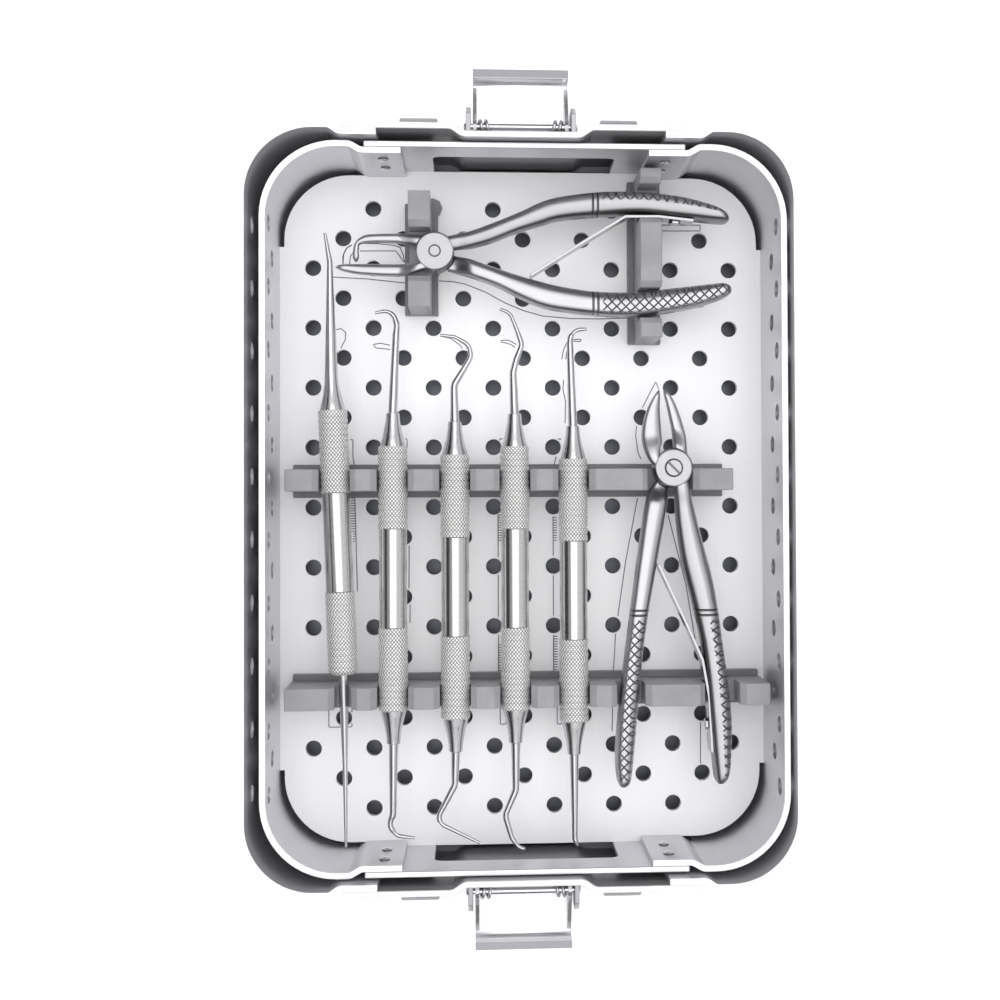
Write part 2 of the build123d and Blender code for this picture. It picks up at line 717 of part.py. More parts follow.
def leaf_rivet(spec):
    """Rivet of the leaf spring: domed head inside, shank in the handle."""
    with BuildPart() as rivet:
        plane = leaf_rivet_plane(spec)
        with BuildSketch(plane.offset(-leaf_thickness - 0.1)):
            RegularPolygon(leaf_rivet_radius, rivet_sides)
        extrude(amount=leaf_thickness + 2.6)
        with BuildSketch(plane.offset(-leaf_thickness - 1.0)):
            RegularPolygon(leaf_rivet_radius * 1.7, rivet_sides)
        extrude(amount=0.9)
    return rivet.part


def pivot_screw(spec):
    """Pivot: shank through both halves, flush with the lower one, with a slotted head on top."""
    with BuildPart() as pivot:
        plane = forceps_plane(spec)
        with BuildSketch(plane.offset(-joint_height / 2)):
            RegularPolygon(pivot_radius, pin_sides)
        extrude(amount=joint_height)
        with BuildSketch(plane.offset(joint_height / 2)):
            RegularPolygon(pivot_head_radius, handle_sides)
        extrude(amount=0.35)
        with BuildSketch(plane.offset(joint_height / 2 + 0.1)):
            Rectangle(2 * pivot_head_radius, 0.7, rotation=-45)
        extrude(amount=1.0, mode=Mode.SUBTRACT)
    return pivot.part


for spec, name in ((band_pliers, "band_pliers"), (extraction_forceps, "extraction_forceps")):
    save(forceps_half(spec, "upper"), name + "_upper_half")
    save(forceps_half(spec, "lower"), name + "_lower_half")
    save(leaf_spring(spec), name + "_leaf_spring")
    save(leaf_rivet(spec), name + "_leaf_rivet")
    save(pivot_screw(spec), name + "_pivot")

# ---------------------------------------------------------------- racks

notch_half = knurl_radius + seat_gap


def rack(length, notches, pegs):
    """Rack along local x: base strip, one tall block strip notched for what it holds, and pegs.
    A notch is (middle, half width, height of its round or flat bottom above the floor)."""
    with BuildPart() as body:
        with BuildSketch(Plane.XY):
            Rectangle(length, rack_base_width)
        extrude(amount=rack_base_height)
        with BuildSketch(Plane.XZ.offset(-rack_block_width / 2)):
            with Locations((0, rack_height / 2)):
                Rectangle(length, rack_height)
            for middle, half, bottom, is_round in notches:
                if is_round:
                    with Locations((middle, bottom + half)):
                        RegularPolygon(
                            half, notch_sides, major_radius=False, rotation=180 / notch_sides, mode=Mode.SUBTRACT
                        )
                    low = bottom + half
                else:
                    low = bottom
                Polygon(
                    (middle - half, low),
                    (middle + half, low),
                    (middle + half, rack_height - rack_mouth),
                    (middle + half + rack_mouth, rack_height),
                    (middle - half - rack_mouth, rack_height),
                    (middle - half, rack_height - rack_mouth),
                    align=None,
                    mode=Mode.SUBTRACT,
                )
        extrude(amount=rack_block_width)
        for x, y in pegs:
            if abs(y) + peg_radius > rack_base_width / 2:
                with BuildSketch(Plane.XY):
                    with Locations((x, y)):
                        RegularPolygon(peg_head_radius, notch_sides)
                extrude(amount=rack_base_height)
            with BuildSketch(Plane.XY):
                with Locations((x, y)):
                    RegularPolygon(peg_radius, rivet_sides)
            extrude(amount=-(sheet + seat_gap))
            with BuildSketch(Plane.XY.offset(-(sheet + seat_gap))):
                with Locations((x, y)):
                    RegularPolygon(peg_head_radius, rivet_sides)
            extrude(amount=-peg_head_length, taper=20)
    return body.part


def place_rack(name, start, end, notches, near):
    """Makes a rack along X or Y between two points and stands it on the tray floor. Notches come as
    places along that axis in the part's own frame; each peg takes the floor hole under the rack that
    is nearest to its place."""
    x, y = (start[0] + end[0]) / 2, (start[1] + end[1]) / 2
    length = end[0] - start[0] + end[1] - start[1]
    lengthwise = end[1] > start[1]
    turn = 90 if lengthwise else 0
    middle = y if lengthwise else x
    local = [(at - middle, half, low, is_round) for at, half, low, is_round in notches]
    pegs = []
    for along in near:
        local_holes = []
        for hole_x, hole_y in floor_holes:
            dx, dy = hole_x + tray_x - x, hole_y - y
            local_holes.append((dy, -dx) if lengthwise else (dx, dy))
        under = [hole for hole in local_holes if abs(hole[1]) <= hole_pitch / 2]
        pegs.append(min(under, key=lambda hole: abs(hole[0] + middle - along)))
    save(Pos(x, y, floor_top) * Rot(0, 0, turn) * rack(length, local, pegs), name)


round_low = axis_height - notch_half
flat_low = axis_height - forceps_thickness / 2 - seat_gap
joint_low = axis_height - joint_height / 2 - seat_gap
shank_low = axis_height - shank_radius - seat_gap
handle_x = [place[0] for place in instruments.values()]
pliers_x, pliers_y = band_pliers["origin"]
forceps_x = extraction_forceps["origin"][0]
place_rack(
    "rack_middle", (tray_left + 4.7, rack_middle_y), (tray_right - 14.1, rack_middle_y),
    [(at, notch_half, round_low, True) for at in (handle_x[0] - 0.8, *handle_x[1:])]
    + [(forceps_x - 1.2, 7.4, flat_low, False)],
    (tray_left + 21.0, tray_right - 21.0),
)
place_rack(
    "rack_front", (tray_left + 4.5, rack_front_y), (tray_right - 2.5, rack_front_y),
    [(handle_x[0] + 1.9, 2.7, shank_low, False)]
    + [(at, notch_half, round_low, True) for at in handle_x[1:]]
    + [(forceps_x - 14.2, 4.6, flat_low, False), (forceps_x + 15.4, 5.7, flat_low, False)],
    (tray_left + 31.0, tray_right - 31.0),
)
place_rack(
    "rack_left", (pliers_x - 4.9, pliers_y - 18.3), (pliers_x - 4.9, pliers_y + 18.9),
    [(pliers_y - 0.2, 7.9, joint_low, False)],
    (pliers_y - 4.0, pliers_y + 17.0),
)
place_rack(
    "rack_right", (pliers_x + 69.6 * spread_x, pliers_y - 27.8), (pliers_x + 69.6 * spread_x, tray_rear - 3.5),
    [(pliers_y + 16.7, 5.6, flat_low, False), (pliers_y - 16.3, 4.9, flat_low, False)],
    (pliers_y - 12.0, pliers_y + 8.0),
)
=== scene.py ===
"""Looks of an open dental instrument cassette: folded aluminium walls, punched tray floor, silicone
racks, sprung latches, and the hand instruments and pliers that the racks hold."""

import json
import math

import bmesh
import bpy
from bpy.props import FloatProperty, FloatVectorProperty, IntProperty, PointerProperty
from mathutils import Euler, Matrix, Vector

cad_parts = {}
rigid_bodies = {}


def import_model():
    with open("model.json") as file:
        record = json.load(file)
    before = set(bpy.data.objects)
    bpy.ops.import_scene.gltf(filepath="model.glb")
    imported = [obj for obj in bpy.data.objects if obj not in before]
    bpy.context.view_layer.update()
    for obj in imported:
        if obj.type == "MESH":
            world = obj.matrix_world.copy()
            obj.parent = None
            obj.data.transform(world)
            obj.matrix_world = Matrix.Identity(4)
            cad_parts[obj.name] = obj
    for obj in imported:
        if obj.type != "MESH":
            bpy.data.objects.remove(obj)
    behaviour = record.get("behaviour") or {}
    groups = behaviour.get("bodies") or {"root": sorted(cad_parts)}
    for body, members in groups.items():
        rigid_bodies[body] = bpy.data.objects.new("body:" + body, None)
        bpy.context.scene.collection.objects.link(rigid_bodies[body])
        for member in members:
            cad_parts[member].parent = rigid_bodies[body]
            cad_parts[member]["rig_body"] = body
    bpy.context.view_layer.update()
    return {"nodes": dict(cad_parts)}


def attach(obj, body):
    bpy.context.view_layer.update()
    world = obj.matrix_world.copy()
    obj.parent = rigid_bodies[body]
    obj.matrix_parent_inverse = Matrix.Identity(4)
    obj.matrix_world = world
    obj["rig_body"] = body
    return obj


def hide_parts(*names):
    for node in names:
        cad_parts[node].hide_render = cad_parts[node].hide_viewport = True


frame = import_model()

bl_info = {
    "name": "Dental Instrument Cassette",
    "version": (1, 0, 0),
    "blender": (4, 5, 0),
    "location": "View3D > Sidebar > Cassette",
    "description": "Builds the looks of an open dental instrument cassette and of the tools in it",
    "category": "Object",
}

MM = 0.001

# Levels and faces of the cassette, in metres
CASE_BOTTOM = 3.0 * MM
CASE_RIM = 49.0 * MM
TRAY_FOOT = 5.0 * MM
TRAY_RIM = 45.0 * MM
FLOOR_TOP = 15.0 * MM
AXIS_Z = 31.0 * MM
TRAY_X = 1.3 * MM
PIN_Y = 121.05 * MM
PIN_Z = 39.0 * MM
BRACKET_FACE = 118.5 * MM

# What a point of a wall's start mesh asks for
HOLE, WINDOW, LAP = 1, 2, 3

# Steps of the rounded lines and holes
BEND_STEPS = 14
HOLE_SIDES = 28

# Directions of the grain, as how fine it is along each axis, per metre
WALL_GRAIN = (60.0, 60.0, 2500.0)
FLOOR_GRAIN = (2500.0, 35.0, 60.0)
PRESSED_GRAIN = (60.0, 2200.0, 2200.0)
EVEN_GRAIN = 900.0
WIRE_GRAIN = 3000.0

# How much of a brushed tone is fine grain, and how much is slow unevenness
GRAIN_SHARE, CLOUD_SHARE = 0.6, 0.4
GRAIN_DEPTH = 0.00002
# Where the tone of grain or haze lies, for a spread of roughness over it
TONE_LOW, TONE_HIGH = 0.3, 0.7
ROUGHNESS_SPREAD = 0.08

# Turned bars show rings round their length; silicone shows a slow haze, fine dust and some light through it
TURNED_GRAIN = (40.0, 9000.0, 40.0)
HAZE, DUST, DUST_DEPTH = 95.0, 2600.0, 0.00004
SCATTER = (0.002, 0.002, 0.0022)
FOOT_FADE = 3.0 * MM

# Grips: how far past the waist the knurl fades in and how deep its cuts are; then how much colour the painted
# shade keeps in the knurl's cuts, and in the pliers' cuts, grooves, slot, joint lines and inner sides and at the
# case lining's foot
KNURL_START, KNURL_FULL = 0.1 * MM, 0.5 * MM
KNURL_DEPTH, KNURL_SHADE = 0.00013, 0.06
PAINTED_SHADE_SHARE = 0.3

# Where the painted dark reflection on a latch's lip begins, how high the painted shade at the foot of a wall's
# lining reaches, and how far down the painted highlight on a wall's rim reaches
LIP_Y = 136.2 * MM
LINING_FOOT, LINING_CLEAR = 12.0 * MM, 42.0 * MM
RIM_DEEP, RIM_SHALLOW = 0.7 * MM, 0.2 * MM

# Creases stay sharp over this angle, in degrees
CREASE = 35.0
# Solids of the frame are welded this near, and faces flatter than this are joined before their bevel
WELD_DISTANCE = 0.002 * MM
FLAT_ANGLE = 1.0

# The pliers' joint, in millimetres: radius and height of its discs, and half the height of a blade beside it
JOINT_RADIUS = 6.2
JOINT_TOP = 4.0
HALF_LAP = 1.9
# Marks on the pliers, all in millimetres: the two grooves before the grip, the hatch's first cuts, the joint's
# bright faces, the seam round them, and the ring and slot of the pin
GROOVES_BEFORE, GROOVES_HALF_APART, GROOVE_EDGE = 2.2, 0.8, (0.1, 0.4)
HATCH_EDGE = 0.6
FACE_EDGE, FACE_LEVEL = (-6.0, -5.8), (3.6, 3.7)
SEAM_RADIUS, SEAM_EDGE = 6.3, (0.15, 0.45)
RING_EDGE, SLOT_EDGE = (0.08, 0.22), (0.28, 0.36)
# How much colour the painted shade in the hatch's cuts keeps, how steep the cuts are and how deep all the marks
# are
HATCH_SHADE, HATCH_STEEP, MARK_DEPTH = 0.38, 4.2, 0.0003


# ---------------------------------------------------------------- sizes and colours


def length(label, text, default):
    """A length property in metres."""
    return FloatProperty(name=label, description=text, default=default, min=0.0, unit="LENGTH", precision=5)


def colour(label, text, default):
    """A colour property."""
    return FloatVectorProperty(
        name=label, description=text, default=default, size=3, min=0.0, max=1.0, subtype="COLOR"
    )


class CassetteSheetSettings(bpy.types.PropertyGroup):
    """Sheet metal of the case and the tray."""

    sheet: length("Sheet", "Thickness of the aluminium sheet", 0.002)
    edge: length("Edge round", "Rounding of the cut sheet edges", 0.00045)
    case_corner: length("Case corner", "Outside radius of the case's upright corners", 0.023)
    tray_corner: length("Tray corner", "Outside radius of the tray's upright corners", 0.024)
    hole_radius: length("Hole radius", "Radius of every punched hole", 0.0027)
    hole_pitch: length("Hole pitch", "Step of the checkered holes in the tray floor", 0.010)
    rivet_radius: length("Rivet radius", "Radius of the corner rivets' heads", 0.0017)
    case_colour: colour("Case", "Colour of the outside of the case walls", (0.54, 0.54, 0.56))
    lining_colour: colour("Case lining", "Colour of the inside of the case", (0.56, 0.562, 0.59))
    tray_colour: colour("Tray walls", "Colour of the tray walls", (0.66, 0.66, 0.69))
    # The rims' colour is a painted highlight: the walls' top edges are drawn lighter than the sheet, where light
    # falls on them from above
    rim_highlight_colour: colour("Rims", "Colour of the bare cut rims of the sheet", (0.88, 0.88, 0.89))
    floor_colour: colour("Tray floor", "Colour of the punched tray floor", (0.96, 0.96, 0.975))
    rivet_colour: colour("Rivets", "Colour of the rivet heads", (0.80, 0.80, 0.82))
    foot_colour: colour("Feet", "Colour of the corner feet", (0.30, 0.30, 0.32))


class CassetteEtchingSettings(bpy.types.PropertyGroup):
    """Tool outlines etched into the tray floor."""

    line_width: length("Line width", "Width of an etched line", 0.00032)
    tick_step: length("Tick step", "Distance between the short cross marks", 0.00085)
    line_colour: colour("Lines", "Colour of the etched lines", (0.13, 0.13, 0.15))


class CassetteRackSettings(bpy.types.PropertyGroup):
    """Silicone racks."""

    edge: length("Edge round", "Rounding of the moulded edges", 0.0005)
    silicone: colour("Silicone", "Colour of the racks", (0.27, 0.271, 0.285))


class CassetteLatchSettings(bpy.types.PropertyGroup):
    """Sprung latches at both ends of the case."""

    edge: length("Edge round", "Rounding of the pressed steel edges", 0.00025)
    wire: length("Spring wire", "Diameter of the spring wire", 0.0011)
    coil_radius: length("Coil radius", "Mean radius of the spring's coils", 0.00185)
    coil_pitch: length("Coil pitch", "Step from one turn to the next", 0.0019)
    coil_turns: FloatProperty(name="Turns", description="Turns of each coil", default=2.25, min=1.0)
    steel: colour("Latch steel", "Colour of the latch plates and pins", (0.82, 0.82, 0.84))
    bracket: colour("Bracket steel", "Colour of the latch brackets", (0.42, 0.42, 0.44))
    # The lip colour is not wear but a painted dark reflection in the curled end of a latch plate
    lip: colour("Lip", "Colour of the worn lip of a latch plate", (0.25, 0.25, 0.27))
    spring: colour("Spring steel", "Colour of the spring wire", (0.72, 0.72, 0.74))


class CassetteToolSettings(bpy.types.PropertyGroup):
    """Hand instruments and pliers."""

    grip_radius: length("Grip radius", "Radius of the knurled grips", 0.0047)
    waist_radius: length("Waist radius", "Radius of the plain waist between the grips", 0.00445)
    handle_length: length("Handle length", "Length of a hand instrument's handle", 0.0846)
    waist_length: length("Waist length", "Length of the plain waist", 0.0314)
    knurl_count: IntProperty(name="Knurl count", description="Ridges round a grip", default=26, min=6)
    knurl_pitch: length("Knurl pitch", "Step of the knurl along a grip", 0.0013)
    grip_frost: FloatProperty(
        name="Grip frost", description="How far the knurled tops scatter light", default=0.42, min=0.0, max=1.0
    )
    ring_pitch: length("Ring pitch", "Step of the turned rings in the grips", 0.0020)
    hatch_pitch: length("Hatch pitch", "Step of the crossed cuts in the pliers' grips", 0.0030)
    steel: colour("Polished steel", "Colour of the hand instruments' waists", (0.66, 0.655, 0.65))
    grip: colour("Grip steel", "Colour of the knurled grips", (0.99, 0.985, 0.98))
    satin: colour("Satin steel", "Colour of the pliers and forceps", (0.55, 0.55, 0.565))
    bright: colour("Bright steel", "Colour of the pliers' joints", (0.44, 0.44, 0.45))
    leaf: colour("Leaf steel", "Colour of the pliers' leaf springs", (0.45, 0.45, 0.46))
    shank: colour("Shank steel", "Colour of the instruments' shanks and points", (0.60, 0.60, 0.61))


class CassetteStageSettings(bpy.types.PropertyGroup):
    """Floor and light round the cassette."""

    floor_tone: colour("Floor", "Colour of the table", (0.97, 0.97, 0.975))
    lamp_size: length("Lamp size", "Width of the main soft lamp", 1.1)
    lamp_power: FloatProperty(name="Lamp", description="Power of the main soft lamp", default=3.0, unit="POWER")
    sky_strength: FloatProperty(name="Sky", description="Strength of the even light", default=1.22, min=0.0)
    card_tint: colour("Cards", "Tint of the cards that give the metal its edges", (1.0, 1.0, 1.03))


# ---------------------------------------------------------------- nodes


class Nodes:
    """A node tree with a short way to add each kind of node that the shapes and finishes share."""

    def __init__(self, tree):
        self.tree = tree

    def feed(self, socket, value):
        """Links a socket to another one, or gives it a plain value."""
        if isinstance(value, bpy.types.NodeSocket):
            self.tree.links.new(value, socket)
        else:
            socket.default_value = value

    def node(self, kind, values=None, **settings):
        """Adds a node with its inputs and settings."""
        node = self.tree.nodes.new(kind)
        for key, value in settings.items():
            setattr(node, key, value)
        for key, value in (values or {}).items():
            self.feed(node.inputs[key], value)
        return node

    def __call__(self, kind, values=None, **settings):
        """Adds a node and returns its first output."""
        return self.node(kind, values, **settings).outputs[0]

    def calc(self, operation, *values):
        """Result of a Math node."""
        return self("ShaderNodeMath", dict(enumerate(values)), operation=operation)

    def times(self, first, *others):
        """Product of two or more values."""
        for other in others:
            first = self.calc("MULTIPLY", first, other)
        return first

    def within(self, mask, value):
        """The value where the mask is 1, and 1 where it is 0."""
        return self.calc("ADD", self.times(value, mask), self.calc("SUBTRACT", 1.0, mask))

    def rise(self, value, low=0.0, high=1.0, bottom=0.0, top=1.0):
        """Goes from bottom to top as the value goes from low to high."""
        ends = {"Value": value, "From Min": low, "From Max": high, "To Min": bottom, "To Max": top}
        return self("ShaderNodeMapRange", ends)

    def split(self, vector):
        """The three parts of a vector."""
        return self.node("ShaderNodeSeparateXYZ", {0: vector}).outputs

    def vector(self, **parts):
        """A vector from its parts X, Y and Z."""
        return self("ShaderNodeCombineXYZ", parts)

    def crossed_ridges(self, first, second, pitch=None):
        """Two families of ridges that cross: 0 in the cuts, 1 on the tops."""
        ridges = []
        for sign in ("ADD", "SUBTRACT"):
            turn = self.calc(sign, first, second)
            if pitch is not None:
                turn = self.calc("DIVIDE", turn, pitch)
            ridges.append(self.calc("PINGPONG", turn, 0.5))
        return self.times(self.calc("MINIMUM", *ridges), 2.0)

    # Geometry nodes

    def place(self):
        """The three parts of each point's place."""
        return self.split(self("GeometryNodeInputPosition"))

    def named(self, name, kind="FLOAT"):
        """Reads a named attribute."""
        return self("GeometryNodeInputNamedAttribute", {"Name": name}, data_type=kind)

    def store(self, geometry, name, value, kind="FLOAT", domain="POINT"):
        """Keeps a value as a named attribute."""
        values = {"Geometry": geometry, "Name": name, "Value": value}
        return self("GeometryNodeStoreNamedAttribute", values, data_type=kind, domain=domain)

    def moved(self, geometry, **values):
        """Geometry with a Translation, Rotation or Scale."""
        return self("GeometryNodeTransform", {"Geometry": geometry, **values})

    def joined(self, *parts):
        """All the parts as one geometry."""
        node = self.node("GeometryNodeJoinGeometry")
        for part in parts:
            self.tree.links.new(part, node.inputs[0])
        return node.outputs[0]

    def curve(self, mesh):
        """The edges of a mesh as curves."""
        return self("GeometryNodeMeshToCurve", {0: mesh})

    def fillet(self, line, count, radius, limit=False):
        """A line with rounded corners; the limit keeps the rounds from meeting."""
        values = {"Curve": line, "Count": count, "Radius": radius, "Limit Radius": limit}
        return self("GeometryNodeFilletCurve", values, mode="POLY")

    def rectangle(self, width, height):
        """A rectangle as a curve."""
        values = {"Width": width, "Height": height}
        return self("GeometryNodeCurvePrimitiveQuadrilateral", values, mode="RECTANGLE")

    def circle(self, sides, radius):
        """A circle as a curve."""
        return self("GeometryNodeCurvePrimitiveCircle", {"Resolution": sides, "Radius": radius})

    def swept(self, line, section, **more):
        """A section carried along a line, closed at its ends."""
        values = {"Curve": line, "Profile Curve": section, "Fill Caps": True, **more}
        return self("GeometryNodeCurveToMesh", values)

    def on_points(self, points, instance, **more):
        """An instance on each point; more is a Selection or a Rotation."""
        return self("GeometryNodeInstanceOnPoints", {"Points": points, "Instance": instance, **more})

    def realized(self, geometry):
        """Instances as plain geometry."""
        return self("GeometryNodeRealizeInstances", {0: geometry})

    # Shader nodes

    def noise(self, vector, scale, detail, roughness=0.5):
        """Value of a noise texture."""
        values = {"Vector": vector, "Scale": scale, "Detail": detail, "Roughness": roughness}
        return self("ShaderNodeTexNoise", values)

    def stretched(self, vector, scale):
        """A vector scaled along each axis."""
        return self("ShaderNodeMapping", {"Vector": vector, "Scale": scale})


# ---------------------------------------------------------------- meshes and pieces


def new_object(name, data):
    """A new object in the scene."""
    made = bpy.data.objects.new(name, data)
    bpy.context.scene.collection.objects.link(made)
    return made


def start_mesh(name, lines, points=(), **attributes):
    """Wire mesh of open or closed lines and loose points; attributes are one list of values each."""
    vertices, edges = [], []
    for line, closed in lines:
        first = len(vertices)
        vertices += [tuple(p) if len(p) == 3 else (p[0], p[1], 0.0) for p in line]
        edges += [(first + i, first + i + 1) for i in range(len(line) - 1)]
        if closed:
            edges.append((len(vertices) - 1, first))
    vertices += [tuple(p) for p in points]
    mesh = bpy.data.meshes.new(name)
    mesh.from_pydata([[c * MM for c in v] for v in vertices], edges, [])
    for label, values in attributes.items():
        kind = "FLOAT_VECTOR" if isinstance(values[0], (tuple, list, Vector)) else "FLOAT"
        layer = mesh.attributes.new(label, kind, "POINT")
        values = list(values) + [values[-1]] * (len(vertices) - len(values))
        if kind == "FLOAT":
            layer.data.foreach_set("value", values)
        else:
            layer.data.foreach_set("vector", [c for v in values for c in v])
    return mesh


def grow(name, mesh, tree, body, replaced=(), slot=None, place=None, edge=0.0, **values):
    """Runs a geometry tree on a start mesh, keeps the result as a plain mesh and lets it ride a body."""
    seed = new_object(name + "_start", mesh)
    build = seed.modifiers.new("build", "NODES")
    build.node_group = bpy.data.node_groups[tree]
    wanted = {key.replace("_", " ").title(): value for key, value in values.items()}
    for item in build.node_group.interface.items_tree:
        if item.item_type == "SOCKET" and item.in_out == "INPUT" and item.name in wanted:
            build[item.identifier] = wanted.pop(item.name)
    if wanted:
        raise ValueError(f"{name}: the tree {tree} has no input {sorted(wanted)}")
    graph = bpy.context.evaluated_depsgraph_get()
    made = bpy.data.meshes.new_from_object(seed.evaluated_get(graph), depsgraph=graph)
    bpy.data.objects.remove(seed)
    made.name = name
    if place is not None:
        made.transform(place)
    if not made.polygons:
        raise ValueError(f"{name}: the tree {tree} made nothing")
    return settle(name, made, body, replaced, slot, edge)


def settle(name, mesh, body, replaced=(), slot=None, edge=0.0, crease=CREASE):
    """Puts a finished mesh in the scene as one piece on a body."""
    mesh.polygons.foreach_set("use_smooth", [True] * len(mesh.polygons))
    mesh.set_sharp_from_angle(angle=math.radians(crease))
    piece = new_object(name, mesh)
    if edge > 0:
        rounding(piece, edge)
    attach(piece, body)
    if replaced:
        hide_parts(*replaced)
    return piece


def rounding(piece, width, segments=2):
    """Live bevel on a piece's hard edges."""
    bevel = piece.modifiers.new("edges", "BEVEL")
    bevel.width = width
    bevel.segments = segments
    bevel.limit_method = "ANGLE"
    bevel.angle_limit = math.radians(CREASE)
    bevel.harden_normals = True


def dress(node, material, edge, segments=2):
    """Gives a solid of the frame its finish and softens its edges; its mesh stays as it is."""
    solid = frame["nodes"][node]
    if solid.material_slots:
        for slot in solid.material_slots:
            slot.material = material
    else:
        solid.data.materials.append(material)
    weld = solid.modifiers.new("weld", "WELD")
    weld.merge_threshold = WELD_DISTANCE
    flat = solid.modifiers.new("flat", "DECIMATE")
    flat.decimate_type = "DISSOLVE"
    flat.angle_limit = math.radians(FLAT_ANGLE)
    if edge > 0:
        rounding(solid, edge, segments)


def body_of(node):
    """The body that a solid of the frame rides on."""
    return frame["nodes"][node]["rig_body"]


def turned_piece(name, mesh_name, line, radii, node, slot, place, material, body, bends=None, sides=24, steps=1):
    """Turned bar along a line with its radius at each point, in millimetres."""
    bends = bends or [0.0] * len(line)
    mesh = start_mesh(mesh_name, [(line, False)], bend=bends, radius=[r * MM for r in radii])
    grow(name, mesh, "turned", body, (node,), slot, place, sides=sides, bend_steps=steps, material=material)


# ---------------------------------------------------------------- finishes


def shader_group(name, inputs, outputs):
    """An empty shader group with its sockets."""
    tree = bpy.data.node_groups.new(name, "ShaderNodeTree")
    for label, kind in inputs.items():
        tree.interface.new_socket(label, in_out="INPUT", socket_type="NodeSocket" + kind)
    for label in outputs:
        tree.interface.new_socket(label, in_out="OUTPUT", socket_type="NodeSocketFloat")
    return Nodes(tree), tree.nodes.new("NodeGroupInput").outputs


def brushed_grain_group():
    """Fine grain and slow unevenness of brushed metal; the vector is already stretched along the grain."""
    n, given = shader_group("brushed_grain", {"Vector": "Vector", "Place": "Vector"}, ("Grain", "Cloud"))
    grain = n.noise(given["Vector"], 1.0, 5.0, 0.7)
    n.node("NodeGroupOutput", {"Grain": grain, "Cloud": n.noise(given["Place"], 38.0, 3.0)})


def knurl_group():
    """Crossed ridges round a turned grip, from a place measured in the tool's own frame."""
    n, given = shader_group("knurl", {"Local": "Vector", "Count": "Float", "Pitch": "Float"}, ("Ridge",))
    x, y, z = n.split(given["Local"])
    angle = n.calc("ARCTAN2", x, z)
    around = n.times(n.calc("DIVIDE", angle, math.tau), given["Count"])
    along = n.calc("DIVIDE", y, given["Pitch"])
    n.node("NodeGroupOutput", {"Ridge": n.crossed_ridges(around, along)})


def crosshatch_group():
    """Flat crossed cuts on a pliers' handle, in the plane of the tool."""
    n, given = shader_group("crosshatch", {"Local": "Vector", "Pitch": "Float"}, ("Ridge",))
    x, y, z = n.split(given["Local"])
    n.node("NodeGroupOutput", {"Ridge": n.crossed_ridges(n.calc("ADD", y, z), x, given["Pitch"])})


class Finish(Nodes):
    """A new material with its Principled shader."""

    def __init__(self, name, metallic, roughness):
        self.material = bpy.data.materials.new(name)
        self.material.use_nodes = True
        super().__init__(self.material.node_tree)
        self.shader = self.tree.nodes["Principled BSDF"]
        self.surface(Metallic=metallic, Roughness=roughness)

    def surface(self, **values):
        """Feeds the shader's inputs, each named with _ for a space."""
        for key, value in values.items():
            self.feed(self.shader.inputs[key.replace("_", " ")], value)

    def bump(self, height, strength, distance):
        """Lets a height bend the surface."""
        self.surface(Normal=self("ShaderNodeBump", {"Height": height, "Strength": strength, "Distance": distance}))

    def object_place(self):
        """Place in the object's own frame."""
        return self.node("ShaderNodeTexCoord").outputs["Object"]

    def attribute(self, name, output="Fac"):
        """Reads an attribute of the mesh."""
        return self.node("ShaderNodeAttribute", attribute_name=name).outputs[output]

    def group(self, name, **values):
        """Outputs of a shared shader group."""
        node = self.node("ShaderNodeGroup", node_tree=bpy.data.node_groups[name])
        for key, value in values.items():
            self.feed(node.inputs[key], value)
        return node.outputs

    def grain(self, vector, place):
        """The brushed grain alone, and mixed with its slow unevenness."""
        found = self.group("brushed_grain", Vector=vector, Place=place)
        grain, cloud = found["Grain"], found["Cloud"]
        return grain, self.calc("ADD", self.times(grain, GRAIN_SHARE), self.times(cloud, CLOUD_SHARE))

    def tinted(self, tone, dark, base, light):
        """Colour that runs dark, base, light as the tone goes from 0 to 1."""
        node = self.node("ShaderNodeValToRGB", {"Fac": tone})
        ramp = node.color_ramp.elements
        ramp[0].position, ramp[1].position = 0.25, 0.75
        ramp[0].color = (*[c * dark for c in base], 1.0)
        ramp[1].color = (*[min(1.0, c * light) for c in base], 1.0)
        ramp.new(0.5).color = (*base, 1.0)
        return node.outputs["Color"]

    def mixed(self, share, first, second):
        """Colour that goes from the first to the second as the share goes from 0 to 1."""
        mix = self.node("ShaderNodeMix", {0: share}, data_type="RGBA")
        for socket, value in ((mix.inputs[6], first), (mix.inputs[7], second)):
            self.feed(socket, value if isinstance(value, bpy.types.NodeSocket) else (*value, 1.0))
        return mix.outputs[2]


def shaded(base, share):
    """A darker or lighter tone of a colour."""
    return [c * share for c in base]


